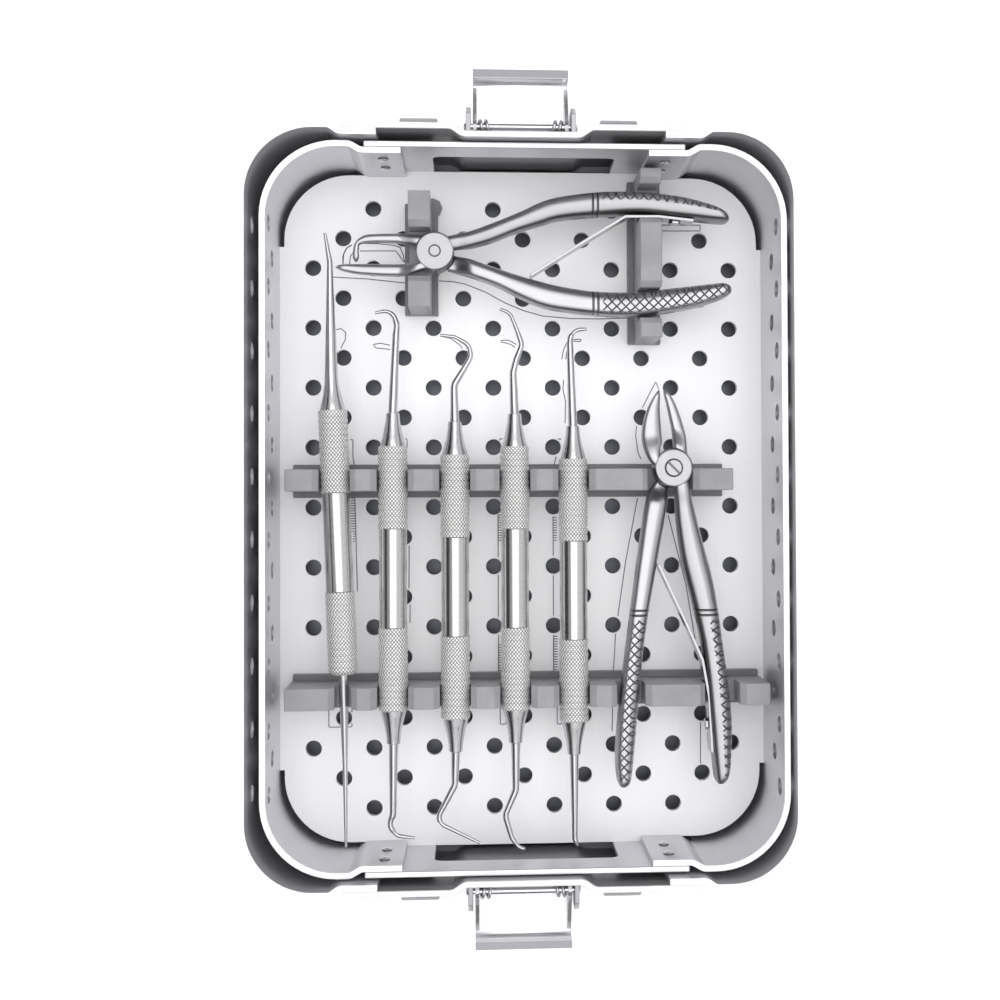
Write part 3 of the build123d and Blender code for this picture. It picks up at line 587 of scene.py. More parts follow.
def brushed(name, base, stretch, metallic=0.85, roughness=0.38, contrast=0.10, **parts):
    """Brushed metal; stretch is how fine the grain is along each axis, per metre.

    Parts may be: lining, the colour of the sheet's inner face, which painted shade darkens towards its foot by a
    given share; rim, the level and colour of the painted highlight on its top edge; crown, how far up a rivet head
    the painted shade of its dark seat reaches; and lip, the colour of the painted dark reflection on a latch's
    handled end.
    """
    f = Finish(name, metallic, roughness)
    place = f.object_place()
    grain, mixed = f.grain(f.stretched(place, stretch), place)
    _, outwards, height = f.split(place)
    tone = f.tinted(mixed, 1.0 - contrast, base, 1.0 + contrast)
    if "lining" in parts:
        inside = f.tinted(mixed, 1.0 - contrast, parts["lining"], 1.0 + contrast)
        # Painted shade: the lining is drawn darker towards its foot, deep in the gap between case and tray
        foot_shade_share = f.rise(height, LINING_FOOT, LINING_CLEAR, parts.get("painted_foot_shade", 0.0), 0.0)
        inside = f.mixed(foot_shade_share, inside, shaded(parts["lining"], PAINTED_SHADE_SHARE))
        tone = f.mixed(f.calc("GREATER_THAN", f.attribute("inner"), 0.6), tone, inside)
    # Painted highlight on the top edge of the wall
    if "rim" in parts:
        level, shine = parts["rim"]
        tone = f.mixed(f.rise(height, level - RIM_DEEP, level - RIM_SHALLOW), tone, shine)
    # Painted dark reflection on the curled lip of a latch plate
    if "lip" in parts:
        tone = f.mixed(f.rise(f.calc("ABSOLUTE", outwards), LIP_Y, LIP_Y + 0.6 * MM), tone, parts["lip"])
    # Painted shade round the seat of a rivet head, where it meets the sheet
    if "crown" in parts:
        crown = parts["crown"]
        tone = f.mixed(f.rise(f.attribute("crown"), crown - 0.12, crown), shaded(base, 0.12), tone)
    rough = f.rise(mixed, TONE_LOW, TONE_HIGH, roughness - ROUGHNESS_SPREAD, roughness + ROUGHNESS_SPREAD)
    f.surface(Base_Color=tone, Roughness=rough)
    f.bump(grain, 0.35, GRAIN_DEPTH)
    return f.material


def silicone_finish(name, base, foot=None):
    """Grey translucent silicone with a faint haze and dust-fine grain; its foot may be darker up to a level."""
    f = Finish(name, 0.0, 0.42)
    place = f.object_place()
    haze = f.noise(place, HAZE, 4.0, 0.55)
    tone = f.tinted(haze, 0.86, base, 1.16)
    if foot:
        level, shade = foot
        tone = f.mixed(f.rise(f.split(place)[2], level, level + FOOT_FADE), shaded(base, shade), tone)
    f.surface(Base_Color=tone, Roughness=f.rise(haze, TONE_LOW, TONE_HIGH, 0.34, 0.50))
    f.surface(Subsurface_Weight=0.18, Subsurface_Radius=SCATTER)
    f.bump(f.noise(place, DUST, 3.0), 0.25, DUST_DEPTH)
    return f.material


def etched_finish(name, base):
    """Dark, matt bottom of an etched line."""
    f = Finish(name, 0.3, 0.6)
    f.surface(Base_Color=f.tinted(f.noise(f.object_place(), EVEN_GRAIN, 3.0), 0.8, base, 1.5))
    return f.material


def grip_finish(name, base, settings):
    """Polished instrument steel: a turned waist between two knurled grips with turned rings."""
    f = Finish(name, 1.0, 0.2)
    local = f.attribute("local", "Vector")
    along = f.split(local)[1]
    knurl = f.group("knurl", Local=local, Count=settings.knurl_count, Pitch=settings.knurl_pitch)["Ridge"]
    half_waist = settings.waist_length / 2
    in_grip = f.rise(f.calc("ABSOLUTE", along), half_waist + KNURL_START, half_waist + KNURL_FULL)
    # The turned rings darken the knurl a little, as painted shade in their grooves
    ring = f.rise(f.calc("PINGPONG", f.calc("DIVIDE", along, settings.ring_pitch), 0.5), 0.0, 0.12, 0.8)
    ridge = f.times(f.calc("MINIMUM", f.times(knurl, 1.6), 1.0), ring)
    turned = f.noise(f.stretched(local, TURNED_GRAIN), 1.0, 2.0)
    # Painted shade: the knurl's cuts take a dark copy of the steel
    cut = f.mixed(f.rise(ridge, 0.1, 0.5), shaded(base, KNURL_SHADE), settings.grip)
    f.surface(
        Base_Color=f.mixed(in_grip, f.tinted(turned, 0.9, base, 1.1), cut),
        Metallic=f.calc("SUBTRACT", 1.0, f.times(in_grip, settings.grip_frost)),
        Roughness=f.calc("ADD", f.rise(turned, 0.0, 1.0, 0.14, 0.26), f.times(in_grip, 0.18)),
    )
    f.bump(f.within(in_grip, ridge), 1.0, KNURL_DEPTH)
    return f.material


def pliers_finish(name, settings, spec):
    """Satin steel with a crosshatched grip and a bright joint; all measured from the pivot along the handles."""
    f = Finish(name, 1.0, 0.32)
    calc = f.calc
    base = settings.satin
    place = f.object_place()
    pivot = (spec["origin"][0] * MM, spec["origin"][1] * MM, AXIS_Z)
    local = f("ShaderNodeVectorMath", {0: place, 1: pivot}, operation="SUBTRACT")
    turn = {"Vector": local, "Angle": -math.radians(spec["turn"])}
    local = f("ShaderNodeVectorRotate", turn, rotation_type="Z_AXIS")
    x, y, z = f.split(local)
    hatch = f.group("crosshatch", Local=local, Pitch=settings.hatch_pitch)["Ridge"]

    def rise_mm(value, ends):
        return f.rise(value, ends[0] * MM, ends[1] * MM)

    def distance(value, middle):
        return calc("ABSOLUTE", calc("SUBTRACT", value, middle))

    # The crosshatched grip and the two turned grooves before it
    outward = f.attribute("outward")
    start = spec["grip"]
    grip = f.times(rise_mm(x, (start, start + HATCH_EDGE)), f.rise(outward, -0.62, -0.5))
    # Painted shade falls in the two grooves and in the hatch's cuts
    off_pair = distance(x, (start - GROOVES_BEFORE) * MM)
    grooves = rise_mm(distance(off_pair, GROOVES_HALF_APART * MM), GROOVE_EDGE)
    cut = calc("MINIMUM", f.times(hatch, HATCH_STEEP), 1.0)
    cut_tone = calc("MAXIMUM", calc("MAXIMUM", cut, HATCH_SHADE), calc("SUBTRACT", 1.0, grip))

    # The joint's bright faces, the ring round its pin, and the seam of the two halves beside it
    radius = f.node("ShaderNodeVectorMath", {0: f.vector(X=x, Y=y)}, operation="LENGTH").outputs["Value"]
    joint = f.times(rise_mm(f.times(radius, -1.0), FACE_EDGE), rise_mm(calc("ABSOLUTE", z), FACE_LEVEL))
    ring = rise_mm(distance(radius, spec["pivot"] * MM), RING_EDGE)
    edge = rise_mm(distance(radius, SEAM_RADIUS * MM), SEAM_EDGE)
    edge = calc("MAXIMUM", edge, calc("GREATER_THAN", f.times(x, y), 0.0))
    # The pin's slot is drawn as painted shade
    if spec["slotted"]:
        across = f.times(calc("SUBTRACT", x, y), math.sqrt(0.5))
        slot = rise_mm(calc("ABSOLUTE", across), SLOT_EDGE)
        outside = rise_mm(radius, (spec["pivot"] - 0.3, spec["pivot"] - 0.2))
        ring = f.times(ring, calc("MAXIMUM", slot, outside))
    marks = f.times(ring, edge)

    # Painted shade: the cuts, grooves and slot, each handle's inner side drawn darker, and the ring and seam as
    # dark joint lines
    shade = f.times(cut_tone, grooves, marks, f.rise(outward, -1.15, -0.5, 0.25))
    grain, worn = f.grain(f.stretched(local, (60.0, 1500.0, 1500.0)), place)
    body = f.mixed(joint, f.tinted(worn, 0.86, base, 1.12), settings.bright)
    rough = f.rise(grain, TONE_LOW, TONE_HIGH, 0.28, 0.42)
    f.surface(Base_Color=f.mixed(shade, shaded(base, PAINTED_SHADE_SHARE), body), Roughness=rough)
    f.bump(f.times(f.within(grip, cut), grooves, marks), 0.9, MARK_DEPTH)
    return f.material


# ---------------------------------------------------------------- geometry trees


def start_tree(name, *sizes, **kinds):
    """A geometry tree with a Geometry input, a float for each size, other kinds of input and a Material."""
    tree = bpy.data.node_groups.new(name, "GeometryNodeTree")
    inputs = {"Geometry": "Geometry", **dict.fromkeys(sizes, "Float")}
    inputs.update({label.replace("_", " "): kind for label, kind in kinds.items()})
    for label, kind in {**inputs, "Material": "Material"}.items():
        tree.interface.new_socket(label, in_out="INPUT", socket_type="NodeSocket" + kind)
    tree.interface.new_socket("Geometry", in_out="OUTPUT", socket_type="NodeSocketGeometry")
    return Nodes(tree), tree.nodes.new("NodeGroupInput").outputs


def end_tree(n, given, geometry):
    """Closes a geometry tree with Realize Instances and Set Material."""
    values = {"Geometry": n.realized(geometry), "Material": given["Material"]}
    n.node("NodeGroupOutput", {0: n("GeometryNodeSetMaterial", values)})


def folded_walls_tree():
    """Upright sheet walls along filleted lines, with round holes, windows and lap cut-outs."""
    n, given = start_tree(
        "folded_walls", "Bottom", "Height", "Sheet", "Hole Radius", "Window Width", "Window Height",
        "Window Corner", "Lap Width", "Lap Height",
    )
    kind = n.named("kind")
    is_line = n("FunctionNodeCompare", {0: kind, 1: 0.5}, operation="LESS_THAN")
    parts = n.node("GeometryNodeSeparateGeometry", {0: given["Geometry"], 1: is_line}, domain="POINT").outputs
    bent = n.fillet(n.curve(parts[0]), BEND_STEPS, n.named("bend"))
    upright = n("GeometryNodeSetCurveNormal", {0: bent}, mode="Z_UP")
    inner = n.calc("GREATER_THAN", n.place()[0], 0.0)
    section = n.store(n.rectangle(given["Sheet"], given["Height"]), "inner", inner)
    wall = n.store(n.swept(upright, section), "inner", n.named("inner"), domain="FACE")
    middle = n.calc("ADD", given["Bottom"], n.times(given["Height"], 0.5))
    wall = n.moved(wall, Translation=n.vector(Z=middle))

    bar = {"Vertices": HOLE_SIDES, "Radius": given["Hole Radius"], "Depth": n.times(given["Sheet"], 4.0)}
    drill = n.moved(n("GeometryNodeMeshCylinder", bar), Rotation=(0.0, math.pi / 2, 0.0))
    opening = n.fillet(n.rectangle(given["Window Width"], given["Window Height"]), 6, given["Window Corner"])
    run = n("GeometryNodeCurvePrimitiveLine", {"Start": (0.0, -0.004, 0.0), "End": (0.0, 0.004, 0.0)})
    lap_size = n.vector(X=given["Lap Width"], Y=0.009, Z=given["Lap Height"])
    tools = {HOLE: drill, WINDOW: n.swept(run, opening), LAP: n("GeometryNodeMeshCube", {"Size": lap_size})}
    cutters = []
    for code, tool in tools.items():
        here = n("FunctionNodeCompare", {0: kind, 1: float(code), "Epsilon": 0.1}, operation="EQUAL")
        cutters.append(n.on_points(parts[1], tool, Selection=here))
    both = {"Mesh 1": wall, "Mesh 2": n.realized(n.joined(*cutters))}
    end_tree(n, given, n("GeometryNodeMeshBoolean", both, operation="DIFFERENCE", solver="EXACT"))


def punched_plate_tree():
    """Flat sheet with a filleted outline and, where asked for, a checkered field of round holes."""
    n, given = start_tree(
        "punched_plate", "Top", "Sheet", "Hole Radius", "Pitch", "Shift", Columns="Int", Rows="Int", Punched="Bool"
    )
    calc = n.calc
    pitch = given["Pitch"]
    outline = n.fillet(n.curve(given["Geometry"]), BEND_STEPS, n.named("bend"))
    across, down = n.times(given["Columns"], 2.0), n.times(given["Rows"], 2.0)
    grid = {
        "Size X": n.times(across, pitch), "Size Y": n.times(down, pitch),
        "Vertices X": calc("ADD", across, 1.0), "Vertices Y": calc("ADD", down, 1.0),
    }
    field = n("GeometryNodeMeshGrid", grid)
    x, y, _ = n.place()
    column, line = calc("ROUND", calc("DIVIDE", x, pitch)), calc("ROUND", calc("DIVIDE", y, pitch))
    odd = calc("FLOORED_MODULO", calc("ADD", column, line), 2.0)
    at_side = calc("COMPARE", calc("ABSOLUTE", column), given["Columns"], 0.5)
    at_end = calc("COMPARE", calc("ABSOLUTE", line), given["Rows"], 0.5)
    inner = calc("SUBTRACT", 1.0, n.times(at_side, at_end))
    chosen = calc("GREATER_THAN", n.times(odd, inner), 0.5)
    rings = n.realized(n.on_points(field, n.circle(HOLE_SIDES, given["Hole Radius"]), Selection=chosen))
    wanted = n("GeometryNodeSwitch", {"Switch": given["Punched"], "True": rings}, input_type="GEOMETRY")
    skin = n("GeometryNodeFillCurve", {"Curve": n.joined(outline, wanted)}, mode="TRIANGLES")
    sunk = {"Offset": n.vector(Z=n.times(given["Sheet"], -1.0)), "Offset Scale": 1.0, "Individual": False}
    deep = n("GeometryNodeExtrudeMesh", {"Mesh": skin, **sunk}, mode="FACES")
    both = n.joined(deep, n("GeometryNodeFlipFaces", {0: skin}))
    closed = n("GeometryNodeMergeByDistance", {"Geometry": both, "Distance": WELD_DISTANCE})
    end_tree(n, given, n.moved(closed, Translation=n.vector(X=given["Shift"], Z=given["Top"])))


def turned_tree():
    """A round bar that follows a filleted line and takes its radius from it; keeps its own frame."""
    n, given = start_tree("turned", Sides="Int", Bend_Steps="Int")
    bent = n.fillet(n.curve(given["Geometry"]), given["Bend Steps"], n.named("bend"), limit=True)
    bar = n.swept(bent, n.circle(given["Sides"], 1.0), Scale=n.named("radius"))
    place = n("GeometryNodeInputPosition")
    end_tree(n, given, n.store(bar, "local", place, kind="FLOAT_VECTOR"))


def heads_tree():
    """Low domed heads seated on points, each facing the way its point says."""
    n, given = start_tree("rivet_heads", "Radius", "Rise")
    dome = n("GeometryNodeMeshUVSphere", {"Segments": 20, "Rings": 10, "Radius": 1.0})
    size = n.vector(X=given["Radius"], Y=given["Radius"], Z=given["Rise"])
    dome = n.moved(n.store(dome, "crown", n.place()[2]), Scale=size)
    facing = n("FunctionNodeAlignRotationToVector", {"Vector": n.named("out", "FLOAT_VECTOR")}, axis="Z")
    end_tree(n, given, n.on_points(given["Geometry"], dome, Rotation=facing))


def coil_tree():
    """Both coils of a latch spring and the wire that joins them behind the pin."""
    n, given = start_tree("coil_spring", "Wire", "Coil Radius", "Coil Pitch", "Turns", "Inner")
    link = n.fillet(n.curve(given["Geometry"]), 6, 0.0007, limit=True)
    radius = given["Coil Radius"]
    spiral = {
        "Resolution": 30, "Rotations": given["Turns"], "Start Radius": radius, "End Radius": radius,
        "Height": n.times(given["Turns"], given["Coil Pitch"]),
    }
    laid = n.moved(n("GeometryNodeCurveSpiral", spiral), Rotation=(0.0, math.pi / 2, 0.0))
    right = n.moved(laid, Translation=n.vector(X=given["Inner"], Y=PIN_Y, Z=PIN_Z))
    left = n.moved(right, Scale=(-1.0, 1.0, 1.0))
    section = n.circle(12, n.times(given["Wire"], 0.5))
    end_tree(n, given, n.swept(n.joined(link, right, left), section))


def etched_tree():
    """Thin etched ribbons on the tray floor, left out where a hole is punched."""
    n, given = start_tree("etched_lines", "Width", "Top", "Pitch", "Hole Radius", "Shift")
    calc = n.calc
    fine = n("GeometryNodeResampleCurve", {"Curve": n.curve(given["Geometry"]), "Length": 0.0005}, mode="LENGTH")
    x, y, _ = n.place()
    column = calc("DIVIDE", calc("SUBTRACT", x, given["Shift"]), given["Pitch"])
    line = calc("DIVIDE", y, given["Pitch"])
    off = []
    for sign in ("ADD", "SUBTRACT"):
        lattice = calc(sign, column, line)
        even = n.times(calc("ROUND", n.times(calc("SUBTRACT", lattice, 1.0), 0.5)), 2.0)
        gap = calc("SUBTRACT", lattice, calc("ADD", even, 1.0))
        off.append(n.times(gap, gap))
    reach = n.times(calc("SQRT", n.times(calc("ADD", *off), 0.5)), given["Pitch"])
    in_hole = calc("LESS_THAN", reach, calc("ADD", given["Hole Radius"], 0.0003))
    wire = {"Geometry": n("GeometryNodeCurveToMesh", {"Curve": fine}), "Selection": in_hole}
    kept = n.curve(n("GeometryNodeDeleteGeometry", wire, mode="ALL", domain="POINT"))
    flat = n("GeometryNodeSetCurveNormal", {0: kept}, mode="Z_UP")
    ribbon = n.swept(flat, n.rectangle(given["Width"], 0.00004))
    end_tree(n, given, n.moved(ribbon, Translation=n.vector(Z=calc("ADD", given["Top"], 0.00001))))


# ---------------------------------------------------------------- sheet metal


def band_lines(half_width, half_length, corner, lap_half, end_half, joggle):
    """Middle lines of a box's two side bands, in millimetres, and the bends at their corners."""
    quarter = [
        (lap_half, half_length - 3.0), (end_half + 1.0, half_length - 3.0),
        (end_half + 1.0 + joggle, half_length - 1.0), (half_width - 1.0, half_length - 1.0),
    ]
    right = quarter + [(x, -y) for x, y in reversed(quarter)]
    left = [(-x, y) for x, y in reversed(right)]
    bends = [0.0, 3.0, 3.0, corner - 1.0]
    return [(right, False), (left, False)], 2 * (bends + bends[::-1])


def end_lines(points, bends):
    """Middle lines of the rear and the front end plate, and their bends."""
    return [(points, False), ([(x, -y) for x, y in reversed(points)], False)], bends + bends[::-1]


def hole_row(half_width, count, level, step=20):
    """Cutters for one level of holes along both side bands."""
    first = -(count - 1) / 2
    return [(HOLE, (side * (half_width - 1), (first + i) * step, level)) for side in (1, -1) for i in range(count)]


def lap_cuts(half_width, half_length, level):
    """Cutters for the four laps of the bands over the end plates."""
    return [(LAP, (sx * half_width, sy * (half_length - 3), level)) for sx in (1, -1) for sy in (1, -1)]


def wall_sheet(name, body, lines, bends, cutters, material, settings, place=None, **sizes):
    """Folded sheet along the lines; cutters are (kind, place), in millimetres."""
    count = sum(len(line) for line, _ in lines)
    kinds = [0.0] * count + [float(kind) for kind, _ in cutters]
    bends = [b * MM for b in bends] + [0.0] * len(cutters)
    mesh = start_mesh(name + "_lines", lines, [spot for _, spot in cutters], kind=kinds, bend=bends)
    ends = ("left", "right") if name.endswith("bands") else ("rear", "front")
    nodes = [f"{name[:-1]}_{end}" for end in ends]
    grow(
        name, mesh, "folded_walls", body, nodes, body + "_wall", place, settings.edge,
        sheet=settings.sheet, hole_radius=settings.hole_radius, material=material, **sizes,
    )


def flat_sheet(name, mesh_name, body, slot, outline, rounds, material, settings, **sizes):
    """Flat sheet inside an outline with rounded corners, in millimetres."""
    grow(
        name, start_mesh(mesh_name, [(outline, True)], bend=[r * MM for r in rounds]), "punched_plate",
        body, (body + "_floor",), slot, sheet=settings.sheet, hole_radius=settings.hole_radius,
        pitch=settings.hole_pitch, material=material, **sizes,
    )


class CASSETTE_OT_case_walls(bpy.types.Operator):
    """Folded walls and floor of the outer case"""

    bl_idname = "cassette.case_walls"
    bl_label = "Case Walls"

    def execute(self, context):
        settings = context.scene.cassette_sheet
        half_width, half_length = 87.5, 119.5
        # The rim colour is a painted highlight on the walls' top edges, and the last share is the painted shade at
        # the lining's foot
        finish = {"metallic": 0.45, "rim": (CASE_RIM, settings.rim_highlight_colour), "painted_foot_shade": 0.6}
        lining = settings.lining_colour
        steel = brushed("case_wall_brushed", settings.case_colour, WALL_GRAIN, lining=lining, **finish)
        # The end plates take a darker copy of the lining: painted shade for the narrow gap between them and the
        # tray's end walls
        dark = brushed("case_end_brushed", settings.case_colour, WALL_GRAIN, lining=shaded(lining, 0.55), **finish)
        sizes = {
            "bottom": CASE_BOTTOM, "height": CASE_RIM - CASE_BOTTOM,
            "window_width": 0.01, "window_height": 0.01, "window_corner": 0.001,
            "lap_width": 0.0155, "lap_height": 0.0062,
        }
        lines, bends = band_lines(half_width, half_length, settings.case_corner / MM, 45.2, 55.7, 3.0)
        cutters = hole_row(half_width, 10, CASE_RIM / MM - 14.5) + lap_cuts(52.5, half_length, 2.0)
        wall_sheet("case_bands", "case", lines, bends, cutters, steel, settings, **sizes)
        outer, recess = half_length - 1, half_length - 3.5
        bottom, mouth, end = 18.3, 21.9, 55.7
        half = [(bottom, recess), (mouth, outer), (end, outer)]
        points = [(-x, y) for x, y in reversed(half)] + half
        lines, bends = end_lines(points, [0.0, 4.0, 4.0, 4.0, 4.0, 0.0])
        wall_sheet("case_ends", "case", lines, bends, [], dark, settings, **sizes)

        x, y, corner = 85.5, 117.5, settings.case_corner / MM - 1.3
        rear = [(-21.6, y), (-18.4, y - 2.5), (18.4, y - 2.5), (21.6, y), (x, y)]
        outline = rear + [(px, -py) for px, py in reversed(rear)] + [(-x, -y), (-x, y)]
        rounds = [0, 0, 0, 0, corner, corner, 0, 0, 0, 0, corner, corner]
        # The case floor plate takes a darker, bluer copy of the lining: painted shade for the dark space under the
        # punched tray floor
        tone = [c * tint for c, tint in zip(lining, (0.5, 0.51, 0.56))]
        plate = brushed("case_floor_brushed", tone, (60.0, 2500.0, 60.0), metallic=0.4, roughness=0.45)
        flat_sheet(
            "case_floor_plate", "case_floor_outline", "case", "case_wall", outline, rounds, plate, settings,
            top=CASE_BOTTOM + settings.sheet, columns=1, rows=1, shift=0.0, punched=False,
        )
        return {"FINISHED"}


class CASSETTE_OT_tray(bpy.types.Operator):
    """Walls with finger windows, and punched floor, of the lift-out tray"""

    bl_idname = "cassette.tray"
    bl_label = "Tray"

    def execute(self, context):
        settings = context.scene.cassette_sheet
        half_width, half_length, end_half = 83.0, 114.7, 50.7
        rim = TRAY_RIM / MM
        tone = settings.tray_colour
        # The tray's rim gets the same painted highlight
        edge = (TRAY_RIM, settings.rim_highlight_colour)
        wall = brushed("tray_wall_brushed", tone, WALL_GRAIN, contrast=0.06, lining=tone, rim=edge)
        place = Matrix.Translation((TRAY_X, 0, 0))
        window_height = 24.5
        sizes = {
            "bottom": TRAY_FOOT, "height": TRAY_RIM - TRAY_FOOT,
            "window_width": 0.059, "window_height": window_height * MM, "window_corner": 0.003,
            "lap_width": 0.0185, "lap_height": 0.012,
        }
        corner = settings.tray_corner / MM
        lines, bends = band_lines(half_width, half_length, corner, 39.0, end_half, 3.5)
        cutters = hole_row(half_width, 10, rim - 7) + hole_row(half_width, 9, rim - 14)
        cutters += lap_cuts(47.1, half_length, 9.0)
        wall_sheet("tray_bands", "tray", lines, bends, cutters, wall, settings, place, **sizes)
        lines, bends = end_lines([(-end_half, half_length - 1), (end_half, half_length - 1)], [0.0, 0.0])
        level = rim - 11.5 - window_height / 2
        cutters = [(WINDOW, (0.0, side * (half_length - 1), level)) for side in (1, -1)]
        wall_sheet("tray_ends", "tray", lines, bends, cutters, wall, settings, place, **sizes)

        x, y, notch = 81.0, 112.7, 1.5
        quarter = [(x, 87.0), (x - notch, 87.0), (x - notch, y - notch), (end_half, y - notch), (end_half, y)]
        quarter_rounds = [0.0, 0.0, 22.0, 0.0, 0.0]
        outline, rounds = [], []
        for sx, sy, order in ((1, 1, 1), (-1, 1, -1), (-1, -1, 1), (1, -1, -1)):
            outline += [(sx * px, sy * py) for px, py in quarter[::order]]
            rounds += quarter_rounds[::order]
        finish = {"metallic": 0.12, "roughness": 0.62, "contrast": 0.04}
        plate = brushed("tray_floor_brushed", settings.floor_colour, FLOOR_GRAIN, **finish)
        flat_sheet(
            "tray_floor_punched", "tray_floor_outline", "tray", "tray_sheet", outline, rounds, plate, settings,
            top=FLOOR_TOP, columns=7, rows=10, shift=TRAY_X, punched=True,
        )
        return {"FINISHED"}


# Rivet heads: name, body, solid, face, way they look, middle and half spread across, levels, radius and rise
RIVETS = (
    ("case_rivet_heads", "case", "case_rivets", 119.5, 1, 0.0, 50.5, (38.0, 21.0), None, 0.0010),
    ("tray_rivet_heads", "tray", "tray_rivets", 110.7, -1, 1.3, 45.0, (38.0, 27.0), None, 0.0010),
    ("latch_rivet_heads", "case", "latch_rivets", 118.5, 1, 0.0, 10.92, (28.55,), 0.0020, 0.0006),
)


class CASSETTE_OT_rivets(bpy.types.Operator):
    """Domed rivet heads of the case, the tray and the latch brackets"""

    bl_idname = "cassette.rivets"
    bl_label = "Rivets"

    def execute(self, context):
        settings = context.scene.cassette_sheet
        grain = (EVEN_GRAIN,) * 3
        # The rivet heads get painted shade at their seats
        steel = brushed("rivet_steel", settings.rivet_colour, grain, roughness=0.3, crown=0.4)
        for name, body, node, face, out, shift, half_x, levels, radius, rise in RIVETS:
            seats, facings = [], []
            for sy in (1, -1):
                for sx in (1, -1):
                    for level in levels:
                        seats.append((shift + sx * half_x, sy * face, level))
                        facings.append((0.0, float(sy * out), 0.0))
            mesh = start_mesh(name + "_seats", [], seats, out=facings)
            radius = radius or settings.rivet_radius
            grow(name, mesh, "rivet_heads", body, (node,), "rivet", radius=radius, rise=rise, material=steel)
        return {"FINISHED"}


class CASSETTE_OT_feet(bpy.types.Operator):
    """Moulded corner feet"""

    bl_idname = "cassette.feet"
    bl_label = "Feet"

    def execute(self, context):
        foot = silicone_finish("foot_grey", context.scene.cassette_sheet.foot_colour)
        dress("case_feet", foot, edge=0.0009, segments=3)
        return {"FINISHED"}


# ---------------------------------------------------------------- etched outlines


ETCHED_LINES = (
    [(-55.0, 3.1), (-54.6, -12.5), (-54.2, -28.0)],
    [(-7.3, -2.8), (-7.3, -58.0)],
    [(11.2, -2.9), (11.2, -58.3)],
    [(-63.7, -65.6), (-56.1, -65.6), (-56.1, -73.0), (-63.7, -73.0), (-63.7, -65.6)],
    [(-6.8, -58.0), (-4.9, -58.0), (-4.9, -72.8), (-6.8, -72.8), (-6.8, -58.0)],
    [(12.3, -58.3), (13.9, -58.3), (13.9, -73.0), (12.3, -73.0), (12.3, -58.3)],
    [(-26.8, 75.9), (-22.4, 75.7), (-18.1, 74.9), (-11.2, 72.2), (-4.7, 68.6), (1.5, 66.0), (8.1, 64.2),
     (17.5, 63.4), (27.4, 63.3), (37.2, 63.7)],
    [(-58.8, 81.4), (-58.9, 83.4), (-58.5, 85.1), (-57.5, 86.8), (-55.8, 87.8)],
    [(-53.1, 85.8), (-41.2, 85.9), (-38.5, 82.2)],
    [(-62.1, 77.0), (-50.5, 76.4), (-37.8, 75.1)],
    [(48.0, 95.3), (61.7, 95.4), (61.7, 93.4), (48.0, 93.3), (48.0, 95.3)],
    [(39.8, 2.7), (35.6, -19.0), (32.2, -42.0), (31.2, -58.0), (30.8, -75.6)],
    [(50.2, -3.1), (56.2, -27.0), (60.1, -51.4)],
    [(60.8, -72.0), (60.7, -87.5)],
    [(41.4, 32.8), (46.2, 42.1), (47.2, 39.6)],
    [(39.6, 27.1), (39.3, 23.7), (40.1, 17.9), (41.1, 15.9)],
    [(-58.8, 81.4), (-58.6, 84.7), (-57.5, 86.8), (-56.0, 87.8)],
    [(-56.6, 81.4), (-56.4, 83.8), (-55.4, 85.4), (-54.3, 86.1)],
    [(-52.9, 88.3), (-47.8, 88.3), (-42.0, 87.8), (-39.8, 87.1), (-38.8, 84.8), (-38.3, 82.2)],
    [(-61.1, 59.3), (-59.5, 59.8), (-57.9, 58.4), (-58.1, 56.0), (-59.8, 52.7)],
    [(-43.2, 54.2), (-46.4, 54.9), (-48.8, 54.4), (-47.9, 53.3), (-43.2, 52.8)],
    [(-26.3, 57.3), (-23.0, 56.6), (-19.7, 54.2), (-17.7, 50.9)],
    [(-26.1, 58.0), (-21.6, 57.3), (-17.9, 54.7), (-16.9, 50.9)],
    [(-6.1, 55.9), (-3.7, 56.1), (-0.9, 54.6)],
    [(-6.1, 55.5), (-2.8, 54.6), (-1.4, 53.6)],
    [(20.9, 56.4), (20.9, 55.6), (17.6, 55.8)],
    [(14.4, 49.6), (15.0, 52.9), (16.6, 56.2), (20.9, 56.4)],
    [(15.7, 49.6), (16.1, 52.4), (17.4, 54.8)],
    [(-56.5, 22.6), (-55.6, 22.6), (-55.6, 16.5), (-55.1, 13.9)],
    [(-38.3, 22.8), (-37.6, 22.8), (-37.6, 20.0)],
    [(-37.0, -8.2), (-37.1, -27.1)],
    [(-36.7, -30.0), (-36.8, -38.6)],
    [(-6.6, 22.8), (-5.6, 22.8)],
    [(-6.6, 22.8), (-6.6, 18.5)],
    [(14.1, 22.7), (12.3, 22.7)],
    [(13.3, 21.4), (11.6, 13.7)],
    [(15.0, 42.6), (14.7, 39.7), (15.6, 35.3), (15.4, 28.0)],
)
ETCHED_TICKS = (
    (-56.3, -55.0, 3.1, -12.5),
    (-7.3, -6.2, -2.8, -12.2),
    (-7.5, -6.4, -46.3, -58.0),
    (11.2, 12.5, -2.9, -12.3),
    (11.2, 12.5, -42.8, -58.3),
)


